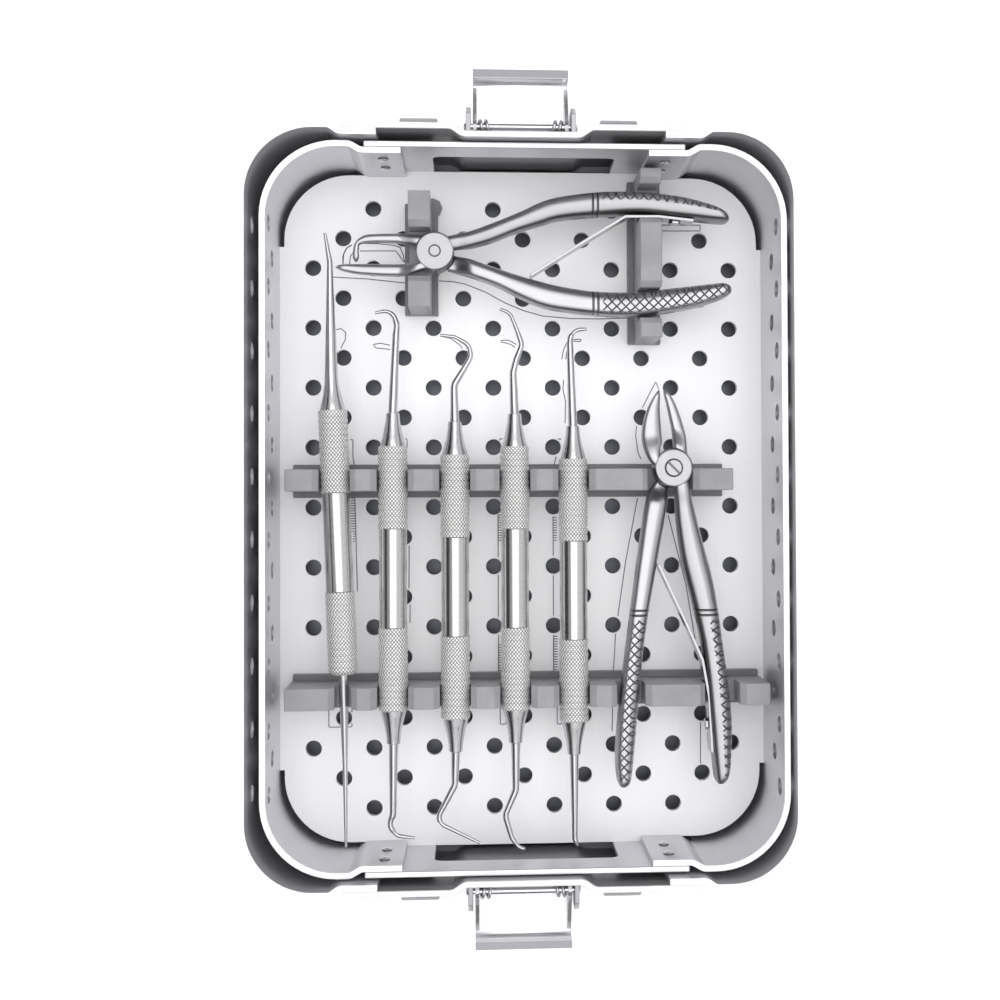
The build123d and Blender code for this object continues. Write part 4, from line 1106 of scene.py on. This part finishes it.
class CASSETTE_OT_etching(bpy.types.Operator):
    """Tool outlines etched into the tray floor"""

    bl_idname = "cassette.etching"
    bl_label = "Etched Outlines"

    def execute(self, context):
        settings = context.scene.cassette_etching
        sheet = context.scene.cassette_sheet
        lines = [(line, False) for line in ETCHED_LINES]
        for left, right, high, low in ETCHED_TICKS:
            step = settings.tick_step / MM
            for i in range(int((high - low) / step)):
                y = high - i * step
                lines.append(([(left, y), (right, y)], False))
        grow(
            "etched_outlines", start_mesh("etched_routes", lines), "etched_lines", "tray", (), "tray_sheet",
            width=settings.line_width, top=FLOOR_TOP, pitch=sheet.hole_pitch, hole_radius=sheet.hole_radius,
            shift=TRAY_X, material=etched_finish("etched_dark", settings.line_colour),
        )
        return {"FINISHED"}


# ---------------------------------------------------------------- racks


class CASSETTE_OT_racks(bpy.types.Operator):
    """Four silicone racks pegged to the tray"""

    bl_idname = "cassette.racks"
    bl_label = "Racks"

    def execute(self, context):
        settings = context.scene.cassette_rack
        silicone = silicone_finish("rack_silicone", settings.silicone, foot=(FLOOR_TOP + 0.0045, 0.72))
        for node in ("rack_middle", "rack_front", "rack_left", "rack_right"):
            dress(node, silicone, edge=settings.edge, segments=3)
        return {"FINISHED"}


# ---------------------------------------------------------------- latches


# Half of a latch pin from its end to its middle: (place along it, radius)
PIN_HALF = ((18.1, 0.6), (17.9, 1.35), (17.4, 1.6), (17.4, 1.0))
SPRING_INNER = 9.7


class CASSETTE_OT_latches(bpy.types.Operator):
    """Latch plates, brackets, pins and torsion springs at both ends"""

    bl_idname = "cassette.latches"
    bl_label = "Latches"

    def execute(self, context):
        settings = context.scene.cassette_latch
        # The plates carry the painted dark reflection on their lips
        polished = {"metallic": 0.9, "roughness": 0.3, "lip": settings.lip}
        steel = brushed("latch_pressed_steel", settings.steel, PRESSED_GRAIN, **polished)
        bracket = brushed("bracket_steel", settings.bracket, PRESSED_GRAIN, metallic=0.9, roughness=0.34)
        wire = brushed("spring_wire_steel", settings.spring, (WIRE_GRAIN,) * 3, metallic=1.0, roughness=0.3)
        pin_steel = brushed("pin_steel", settings.steel, (2500.0, 100.0, 100.0), metallic=1.0, roughness=0.22)
        pin_y, low = PIN_Y / MM, (PIN_Z - settings.coil_radius) / MM
        back = BRACKET_FACE / MM + 0.55
        pin = [(-x, pin_y, PIN_Z / MM) for x, _ in PIN_HALF] + [(x, pin_y, PIN_Z / MM) for x, _ in PIN_HALF[::-1]]
        radii = [r for _, r in PIN_HALF] + [r for _, r in PIN_HALF[::-1]]
        side = SPRING_INNER
        link = [(-side, pin_y, low), (-side, back, low), (side, back, low), (side, pin_y, low)]
        for end, turn in (("rear", 0.0), ("front", math.pi)):
            dress("latch_bracket_" + end, bracket, edge=settings.edge)
            dress("latch_plate_" + end, steel, edge=settings.edge)
            flip = Matrix.Rotation(turn, 4, "Z")
            node = "latch_pin_" + end
            turned_piece(
                "latch_pin_turned_" + end, "pin_line_" + end, pin, radii, node, "latch_steel", flip, pin_steel,
                body_of(node),
            )
            node = "latch_spring_" + end
            grow(
                "latch_spring_wire_" + end, start_mesh("spring_line_" + end, [(link, False)]), "coil_spring",
                body_of(node), (node,), "spring_steel", flip, wire=settings.wire,
                coil_radius=settings.coil_radius, coil_pitch=settings.coil_pitch, turns=settings.coil_turns,
                inner=SPRING_INNER * MM, material=wire,
            )
        return {"FINISHED"}


# ---------------------------------------------------------------- hand instruments


# Name: middle of the handle, turn in degrees, rear and front ends as (sideways, outwards from the ferrule)
HAND_INSTRUMENTS = {
    "pick": (
        (-58.9, -11.1), 2.2,
        [(1.0, 37.1), (-0.2, 46.5)],
        [(0.5, 16.5), (1.3, 44.3)],
    ),
    "scaler": (
        (-41.3, -22.7), 0.0,
        [(1.1, 25.2), (1.4, 28.4), (0.4, 31.6), (-1.9, 33.0), (-5.6, 32.3)],
        [(0.2, 22.7), (1.6, 25.9), (-1.0, 29.4), (-6.8, 30.2)],
    ),
    "probe": (
        (-21.4, -25.5), 0.0,
        [(-0.2, 11.9), (2.4, 16.1), (5.3, 20.9), (4.7, 24.8), (0.2, 27.4), (-4.7, 28.0)],
        [(0.3, 10.7), (5.7, 20.8), (4.6, 23.2), (-7.7, 29.4)],
    ),
    "curette": (
        (-2.1, -22.9), 0.0,
        [(-0.4, 13.2), (0.6, 17.4), (2.5, 22.3), (0.9, 27.1), (-1.3, 32.6), (-4.6, 33.9)],
        [(0.0, 15.2), (3.5, 23.2), (1.3, 30.6), (-1.0, 33.8), (-2.9, 34.2)],
    ),
    "hoe": (
        (16.8, -26.9), 0.0,
        [(-0.8, 26.3), (-0.8, 28.6), (0.9, 31.2), (4.8, 31.5)],
        [(-0.1, 27.3), (-1.0, 29.5)],
    ),
}
PLAIN_NECK = "pick"

# Turned grips, in millimetres: depth and half width of a ring, how far the rings keep off the waist and the
# end, and the radius of the end's face
RING_DEPTH, RING_HALF = 0.28, 0.5
RING_OFF_WAIST, RING_OFF_END = 0.8, 2.2
END_FACE = 2.6

# The cone between a handle and its shank, and the plain neck's front one: (place past the handle, radius)
CONE = ((-0.4, 4.1), (0.2, 4.1), (2.4, 3.55), (5.2, 2.85), (8.4, 2.3), (10.6, 2.15))
SHORT_CONE = ((-0.4, 1.9), (0.6, 1.85), (2.2, 1.6))
# Where the bent shank starts, the step down to it, how round its bends are (in metres), its radius, and how
# much of that goes by the point
FERRULE = 10.8
FERRULE_STEP = ((10.75, 2.0), (FERRULE, 1.5))
SHANK_BEND = 0.0035
SHANK_RADIUS, SHANK_TAPER = 1.3, 0.85


def instrument_place(name, turned_round=False):
    """Matrix from an instrument's own frame, y along it, to the cassette."""
    (x, y), turn, _, _ = HAND_INSTRUMENTS[name]
    place = Matrix.Translation((x * MM, y * MM, AXIS_Z)) @ Matrix.Rotation(math.radians(turn), 4, "Z")
    if turned_round:
        place = place @ Matrix.Rotation(math.pi, 4, "Z")
    return place


class CASSETTE_OT_handles(bpy.types.Operator):
    """Turned handles of the five hand instruments"""

    bl_idname = "cassette.handles"
    bl_label = "Instrument Handles"

    def execute(self, context):
        settings = context.scene.cassette_tools
        steel = grip_finish("instrument_grip_steel", settings.steel, settings)
        half, waist = settings.handle_length / MM / 2, settings.waist_length / MM / 2
        grip, plain = settings.grip_radius / MM, settings.waist_radius / MM
        step = settings.ring_pitch / MM
        rings = []
        for i in range(math.ceil((waist + RING_OFF_WAIST) / step), int((half - RING_OFF_END) / step) + 1):
            y = i * step
            rings += [(y - RING_HALF, grip), (y, grip - RING_DEPTH), (y + RING_HALF, grip)]
        middle = [(-waist - 0.3, grip), (-waist, plain), (waist, plain), (waist + 0.3, grip)]
        rear = [(half - 0.1, grip - 0.1), (half, plain), (half, END_FACE)]
        for name in HAND_INSTRUMENTS:
            front = [(-half, END_FACE), (-half, plain), (-half + 0.35, grip)]
            if name == PLAIN_NECK:
                front = [(-half, END_FACE), (-half, 3.4), (-half + 0.9, grip - 0.25), (-half + 1.6, grip)]
            profile = front + [(-y, r) for y, r in reversed(rings)] + middle + rings + rear
            turned_piece(
                name + "_grip", name + "_grip_line", [(0.0, y) for y, _ in profile], [r for _, r in profile],
                name + "_handle", "polished_steel", instrument_place(name), steel, name, sides=64,
            )
        return {"FINISHED"}


class CASSETTE_OT_working_ends(bpy.types.Operator):
    """Ferrules, bent shanks and points of the five hand instruments"""

    bl_idname = "cassette.working_ends"
    bl_label = "Working Ends"

    def execute(self, context):
        settings = context.scene.cassette_tools
        finish = {"metallic": 1.0, "roughness": 0.2, "contrast": 0.12}
        steel = brushed("shank_steel", settings.shank, (400.0, 90.0, 400.0), **finish)
        start = settings.handle_length / MM / 2
        for name, (_, _, rear, front) in HAND_INSTRUMENTS.items():
            for end, points in (("rear", rear), ("front", front)):
                neck = CONE
                if name != PLAIN_NECK:
                    neck = CONE + FERRULE_STEP
                elif end == "front":
                    neck = SHORT_CONE
                line = [(0.0, start + y) for y, _ in neck] + [(x, start + FERRULE + y) for x, y in points]
                count = len(points)
                radii = [r for _, r in neck] + [SHANK_RADIUS - SHANK_TAPER * (i + 1) / count for i in range(count)]
                bends = [0.0] * len(neck) + [SHANK_BEND] * (count - 1) + [0.0]
                turned_piece(
                    f"{name}_{end}_point", f"{name}_{end}_line", line, radii, f"{name}_tip_{end}",
                    "polished_steel", instrument_place(name, end == "front"), steel, name, bends, steps=6,
                )
        return {"FINISHED"}


# ---------------------------------------------------------------- pliers


# Outlines in the tool's own frame, x along the handles: the outer side from the joint to the tip, and the
# inner side back again
PLIERS = {
    "band_pliers": {
        "origin": (-27.6, 82.2),
        "turn": 0.0,
        "grip": 54.0,
        "pivot": 1.8,
        "slotted": False,
        "outward_shift": 0.7,
        "upper_handle": (
            [(4.0, 5.0), (8.4, 6.1), (17.4, 9.3), (27.6, 13.5), (33.9, 16.5), (40.4, 18.4), (53.4, 20.1),
             (66.4, 20.2), (79.5, 18.9), (89.0, 16.5), (94.8, 14.2)],
            [(95.6, 12.6), (94.6, 10.4), (80.0, 11.6), (67.0, 12.9), (54.0, 12.2), (40.6, 10.9), (34.0, 9.0),
             (26.5, 6.7), (17.4, 3.1), (8.4, 0.8), (4.0, 0.3)],
        ),
        "lower_handle": (
            [(4.0, -0.5), (8.4, -1.0), (17.4, -4.0), (27.4, -7.3), (40.3, -10.6), (53.2, -12.4), (66.2, -12.4),
             (79.3, -10.9), (94.6, -9.2)],
            [(96.6, -10.4), (95.6, -13.4), (89.0, -16.2), (79.7, -18.5), (66.6, -20.4), (53.5, -20.3),
             (40.4, -18.8), (33.9, -17.4), (26.8, -14.4), (19.5, -10.8), (11.3, -7.9), (4.0, -5.6)],
        ),
        "upper_jaw": (
            [(-2.0, -2.0), (-6.5, -3.4), (-10.6, -3.7), (-28.3, -3.8), (-31.2, -4.1)],
            [(-32.1, -5.1), (-29.3, -6.1), (-23.0, -7.2), (-10.6, -7.6), (-3.0, -5.9)],
        ),
        "lower_jaw": (
            [(-2.0, 5.9), (-9.1, 6.2), (-20.5, 5.9), (-23.9, 4.9), (-25.9, 2.6), (-26.5, -1.4), (-25.9, -3.0)],
            [(-24.9, -3.2), (-24.4, -1.4), (-24.4, 1.2), (-22.6, 3.0), (-9.1, 2.9), (-2.0, 1.6)],
        ),
    },
    "extraction_forceps": {
        "origin": (49.2, 12.4),
        "turn": -90.0,
        "grip": 49.0,
        "pivot": 2.8,
        "slotted": True,
        "outward_shift": 0.6,
        "upper_handle": (
            [(4.0, 5.0), (10.4, 6.4), (20.0, 8.8), (29.9, 11.4), (37.7, 13.3), (46.0, 14.7), (55.9, 16.0),
             (68.8, 17.7), (81.8, 18.9), (94.7, 18.6), (101.0, 17.8)],
            [(102.4, 16.2), (102.0, 13.8), (95.0, 12.7), (82.0, 11.6), (69.0, 10.6), (56.0, 8.9), (43.0, 6.0),
             (29.9, 2.8), (19.0, 1.3), (10.4, 0.7), (4.0, 0.3)],
        ),
        "lower_handle": (
            [(4.0, -0.5), (10.4, -1.4), (29.8, -5.0), (55.6, -9.4), (81.3, -12.0), (94.2, -13.2), (102.2, -14.2)],
            [(103.4, -16.0), (102.0, -18.2), (94.1, -19.1), (81.3, -18.3), (68.4, -16.9), (42.7, -13.5),
             (29.8, -11.7), (10.4, -8.6), (4.0, -5.0)],
        ),
        "upper_jaw": (
            [(-2.0, -3.6), (-5.8, -4.2), (-8.6, -3.4), (-12.3, -3.5), (-18.7, -3.9), (-25.2, -3.8)],
            [(-25.6, -4.5), (-23.0, -6.2), (-19.0, -8.2), (-14.0, -9.6), (-8.0, -9.8), (-3.0, -8.0), (0.0, -5.4)],
        ),
        "lower_jaw": (
            [(0.0, 5.0), (-3.0, 5.4), (-9.0, 4.9), (-14.5, 3.5), (-19.5, 1.8), (-23.2, 0.0), (-25.6, -2.2)],
            [(-25.2, -2.9), (-19.8, -1.6), (-14.0, -0.4), (-9.0, 0.5), (-4.0, 1.0)],
        ),
    },
}

def smooth_line(points, count):
    """Evenly spaced points on a smooth line through the given ones."""
    knots = [Vector(p) for p in points]
    knots = [2 * knots[0] - knots[1]] + knots + [2 * knots[-1] - knots[-2]]
    fine = [knots[1]]
    for a, b, c, d in zip(knots, knots[1:], knots[2:], knots[3:]):
        for i in range(1, 13):
            t = i / 12
            fine.append(
                0.5 * (2 * b + (c - a) * t + (2 * a - 5 * b + 4 * c - d) * t**2 + (3 * b - a - 3 * c + d) * t**3)
            )
    lengths = [0.0]
    for a, b in zip(fine, fine[1:]):
        lengths.append(lengths[-1] + (b - a).length)
    line, at = [], 0
    for i in range(count):
        wanted = lengths[-1] * i / (count - 1)
        while at < len(fine) - 2 and lengths[at + 1] < wanted:
            at += 1
        share = (wanted - lengths[at]) / max(1e-9, lengths[at + 1] - lengths[at])
        line.append(fine[at].lerp(fine[at + 1], min(1.0, share)))
    return line


def eased(value, low, high):
    """Goes smoothly from 0 to 1 as the value goes from low to high."""
    share = min(1.0, max(0.0, (value - low) / (high - low)))
    return share * share * (3 - 2 * share)


def powered(value, power):
    """A power of the value's size, with the value's sign."""
    return math.copysign(abs(value) ** power, value)


def shell(form, rings):
    """Closed skin over rings of points, each with the same number of them."""
    rows = [[form.verts.new(point) for point in ring] for ring in rings]
    for row, after in zip(rows, rows[1:]):
        for i in range(len(row)):
            j = (i + 1) % len(row)
            form.faces.new((row[i], row[j], after[j], after[i]))
    form.faces.new(rows[0][::-1])
    form.faces.new(rows[-1])
    return rows


# Blades, in millimetres: up to where one keeps to its half of the joint, from where it fills the whole height,
# how far it shifts to its own half, and how much of its tip closes
BLADE_HALF_TO, BLADE_WHOLE_FROM = 7.0, 13.0
BLADE_SHIFT = 2.0
BLADE_TIP = 2.5


def blade(form, outer, inner, side, thick, outward_shift=0.0, count=90, sides=32):
    """A handle or jaw between two outlines, by the joint only on its own side of it.

    Its outer side is full and round, its inner side flatter, and each point knows how far out it is, less the
    handle's shift, which moves the hatch and the painted shade of its inner side round the handle.
    """
    out = form.verts.layers.float.get("outward") or form.verts.layers.float.new("outward")
    near, far = thick
    first, second = smooth_line(outer, count), smooth_line(inner[::-1], count)
    tip = (first[-1] + second[-1]) / 2
    turns = [math.tau * i / sides for i in range(sides)]
    rings = []
    for a, b in zip(first, second):
        middle, half = (a + b) / 2, (a - b) / 2
        free = eased(middle.length, BLADE_HALF_TO, BLADE_WHOLE_FROM)
        along = min(1.0, middle.length / tip.length)
        tall = HALF_LAP + (near + (far - near) * along - HALF_LAP) * free
        left = (middle - tip).length
        closing = math.sqrt(max(0.02, 1 - max(0.0, 1 - left / BLADE_TIP) ** 2))
        level = side * BLADE_SHIFT * (1 - free)
        ring = []
        for turn in turns:
            c, h = math.cos(turn), math.sin(turn)
            c, h = (powered(c, 0.95), powered(h, 0.9)) if c > 0 else (-(abs(c) ** 0.45), powered(h, 0.6))
            spot = middle + half * c * (0.55 + 0.45 * closing)
            ring.append((spot.x, spot.y, level + tall * closing * h))
        rings.append(ring)
    for row in shell(form, rings):
        for turn, vert in zip(turns, row):
            # The shift moves where the hatch and the painted shade of the inner side fall round a handle
            vert[out] = math.cos(turn) - outward_shift


def turned_disc(form, profile, sides=56):
    """Disc round the pivot with the given (radius, level) profile."""
    turns = [math.tau * i / sides for i in range(sides)]
    shell(form, [[(r * math.cos(turn), r * math.sin(turn), z) for turn in turns] for r, z in profile])


def tool_piece(name, form, spec, node, material, crease=CREASE):
    """Turns a form in a tool's frame, in millimetres, into a piece in its place."""
    bmesh.ops.recalc_face_normals(form, faces=form.faces[:])
    mesh = bpy.data.meshes.new(name)
    form.to_mesh(mesh)
    form.free()
    x, y = spec["origin"]
    place = Matrix.Translation((x * MM, y * MM, AXIS_Z)) @ Matrix.Rotation(math.radians(spec["turn"]), 4, "Z")
    mesh.transform(place @ Matrix.Scale(MM, 4))
    mesh.materials.append(material)
    settle(name, mesh, body_of(node), (node,), "satin_steel", crease=crease)


class CASSETTE_OT_pliers(bpy.types.Operator):
    """Band pliers and extraction forceps with their leaf springs"""

    bl_idname = "cassette.pliers"
    bl_label = "Pliers"

    def execute(self, context):
        settings = context.scene.cassette_tools
        rim = [
            (JOINT_RADIUS - 0.8, JOINT_TOP), (JOINT_RADIUS - 0.3, JOINT_TOP),
            (JOINT_RADIUS, JOINT_TOP - 0.3), (JOINT_RADIUS, 0.2),
        ]
        for name, spec in PLIERS.items():
            steel = pliers_finish(name + "_satin", settings, spec)
            leaf = brushed(name + "_leaf_steel", settings.leaf, (400.0, 400.0, 90.0), metallic=1.0, roughness=0.24)
            for which, side in (("upper", 1), ("lower", -1)):
                form = bmesh.new()
                # Upper handles shift their outward measure, so the hatch and the painted shade of the inner side
                # reach further round
                blade(form, *spec[which + "_handle"], side, (3.0, 4.9), spec["outward_shift"] if side > 0 else 0.0)
                blade(form, *spec[which + "_jaw"], side, (2.3, 1.5))
                turned_disc(form, [(r, side * z) for r, z in rim])
                node = f"{name}_{which}_half"
                tool_piece(node + "_forged", form, spec, node, steel, crease=50.0)
            r = spec["pivot"] - 0.05
            top = JOINT_TOP + (0.35 if spec["slotted"] else 0.02)
            form = bmesh.new()
            turned_disc(form, [(r - 0.3, top), (r, top - 0.3), (r, 3.2), (1.6, 3.0), (1.6, -4.1), (1.3, -4.3)])
            tool_piece(name + "_joint_pin", form, spec, name + "_pivot", steel)
            for part in ("_leaf_spring", "_leaf_rivet"):
                dress(name + part, leaf, edge=0.00012)
        return {"FINISHED"}


# ---------------------------------------------------------------- stage


# Cards round the table: name, middle and half spread of its bearing, lowest and highest sight line in
# degrees, and how light it is
STAGE_CARDS = (
    ("card_left", 180.0, 50.0, 10.0, 42.0, 0.05),
    ("card_left_high", 180.0, 50.0, 42.0, 66.0, 0.42),
    ("card_right", 0.0, 45.0, 4.0, 13.0, 0.05),
    ("card_right_high", 0.0, 45.0, 13.0, 64.0, 0.80),
    ("card_rear", 90.0, 36.0, 6.0, 46.0, 0.05),
    ("card_front", 270.0, 36.0, 6.0, 44.0, 0.05),
)
CARD_DISTANCE = 1.3
LAMP_PLACE = (0.05, 0.09, 1.1)
CAMERA_PLACE = (-0.0137, 0.00194, 0.4448)
CAMERA_TURN = (0.94353, -3.24719, -0.24545)


def card_mesh(name, middle, spread, low, high, steps=12):
    """Upright curved card that faces the object between two sight lines."""
    vertices = []
    for i in range(steps + 1):
        bearing = math.radians(middle + spread * (2 * i / steps - 1))
        for sight in (low, high):
            rise = CARD_DISTANCE * math.tan(math.radians(sight))
            vertices.append((CARD_DISTANCE * math.cos(bearing), CARD_DISTANCE * math.sin(bearing), rise))
    mesh = bpy.data.meshes.new(name)
    mesh.from_pydata(vertices, [], [(2 * i, 2 * i + 1, 2 * i + 3, 2 * i + 2) for i in range(steps)])
    return mesh


def clouded(name, roughness, scale, dark, base, light):
    """Matt paint and its slightly uneven tone."""
    f = Finish(name, 0.0, roughness)
    return f, f.tinted(f.noise(f.object_place(), scale, 2.0), dark, base, light)


class CASSETTE_OT_stage(bpy.types.Operator):
    """Pale table, soft light and camera"""

    bl_idname = "cassette.stage"
    bl_label = "Stage"

    def execute(self, context):
        settings = context.scene.cassette_stage
        scene = context.scene
        mesh = bpy.data.meshes.new("table")
        mesh.from_pydata([(-3, -3, 0), (3, -3, 0), (3, 3, 0), (-3, 3, 0)], [], [(0, 1, 2, 3)])
        table = new_object("table", mesh)
        f, tone = clouded("table_white", 0.7, 3.0, 0.995, settings.floor_tone, 1.005)
        seen = f.node("ShaderNodeLightPath").outputs["Is Camera Ray"]
        f.surface(Base_Color=tone, Emission_Color=(1.0, 1.0, 1.0, 1.0), Emission_Strength=f.times(seen, 0.1))
        mesh.materials.append(f.material)

        for name, middle, spread, low, high, light in STAGE_CARDS:
            card = new_object(name, card_mesh(name, middle, spread, low, high))
            f, tone = clouded(name + "_paint", 0.9, 4.0, 0.9, shaded(settings.card_tint, light), 1.1)
            f.surface(Base_Color=(0.0, 0.0, 0.0, 1.0), Specular_IOR_Level=0.0)
            f.surface(Emission_Color=tone, Emission_Strength=1.0)
            card.data.materials.append(f.material)
            card.visible_camera = card.visible_diffuse = card.visible_shadow = False
            card.visible_transmission = card.visible_volume_scatter = False

        lamp = bpy.data.lights.new("lamp_over", "AREA")
        lamp.shape = "DISK"
        lamp.size = settings.lamp_size
        lamp.energy = settings.lamp_power
        holder = new_object("lamp_over", lamp)
        holder.location = LAMP_PLACE
        holder.rotation_euler = (-Vector(LAMP_PLACE)).to_track_quat("-Z", "Y").to_euler()

        world = bpy.data.worlds.new("studio")
        scene.world = world
        world.use_nodes = True
        n = Nodes(world.node_tree)
        background = n.tree.nodes["Background"]
        background.inputs["Color"].default_value = (1.0, 1.0, 1.0, 1.0)
        ray = n.node("ShaderNodeLightPath").outputs
        seen = n.calc("MAXIMUM", ray["Is Camera Ray"], ray["Is Glossy Ray"])
        seen = n.calc("MAXIMUM", seen, ray["Is Transmission Ray"])
        n.feed(background.inputs["Strength"], n.rise(seen, bottom=settings.sky_strength, top=1.0))

        camera = bpy.data.cameras.new("camera")
        camera.lens = 46.044
        camera.sensor_width = 36.0
        camera.shift_x = -0.05143
        camera.shift_y = -0.02004
        camera.clip_start = 0.01
        holder = new_object("camera", camera)
        holder.location = CAMERA_PLACE
        holder.rotation_euler = Euler([math.radians(a) for a in CAMERA_TURN], "XYZ")
        scene.camera = holder
        scene.view_settings.view_transform = "Standard"
        return {"FINISHED"}


# ---------------------------------------------------------------- add-on


OPERATORS = (
    CASSETTE_OT_stage,
    CASSETTE_OT_case_walls,
    CASSETTE_OT_tray,
    CASSETTE_OT_rivets,
    CASSETTE_OT_feet,
    CASSETTE_OT_etching,
    CASSETTE_OT_racks,
    CASSETTE_OT_latches,
    CASSETTE_OT_handles,
    CASSETTE_OT_working_ends,
    CASSETTE_OT_pliers,
)
SETTINGS = {
    "cassette_sheet": CassetteSheetSettings,
    "cassette_etching": CassetteEtchingSettings,
    "cassette_rack": CassetteRackSettings,
    "cassette_latch": CassetteLatchSettings,
    "cassette_tools": CassetteToolSettings,
    "cassette_stage": CassetteStageSettings,
}


class CASSETTE_PT_panel(bpy.types.Panel):
    """Pieces of the cassette with their sizes and colours"""

    bl_idname = "CASSETTE_PT_panel"
    bl_label = "Instrument Cassette"
    bl_space_type = "VIEW_3D"
    bl_region_type = "UI"
    bl_category = "Cassette"

    def draw(self, context):
        for label, group in SETTINGS.items():
            box = self.layout.box()
            box.label(text=group.__doc__)
            for key in group.__annotations__:
                box.prop(getattr(context.scene, label), key)
        for operator in OPERATORS:
            self.layout.operator(operator.bl_idname)


def register():
    """Registers the classes and hangs the settings on the scene."""
    for label, group in SETTINGS.items():
        bpy.utils.register_class(group)
        setattr(bpy.types.Scene, label, PointerProperty(type=group))
    for operator in OPERATORS:
        bpy.utils.register_class(operator)
    bpy.utils.register_class(CASSETTE_PT_panel)


def unregister():
    """Takes the classes and the settings away again."""
    bpy.utils.unregister_class(CASSETTE_PT_panel)
    for operator in reversed(OPERATORS):
        bpy.utils.unregister_class(operator)
    for label, group in SETTINGS.items():
        delattr(bpy.types.Scene, label)
        bpy.utils.unregister_class(group)


def main():
    """Makes the shared node groups and every piece."""
    register()
    for group in (
        brushed_grain_group, knurl_group, crosshatch_group, folded_walls_tree, punched_plate_tree,
        turned_tree, heads_tree, coil_tree, etched_tree,
    ):
        group()
    for operator in OPERATORS:
        family, name = operator.bl_idname.split(".")
        getattr(getattr(bpy.ops, family), name)()


if __name__ == "__main__":
    main()
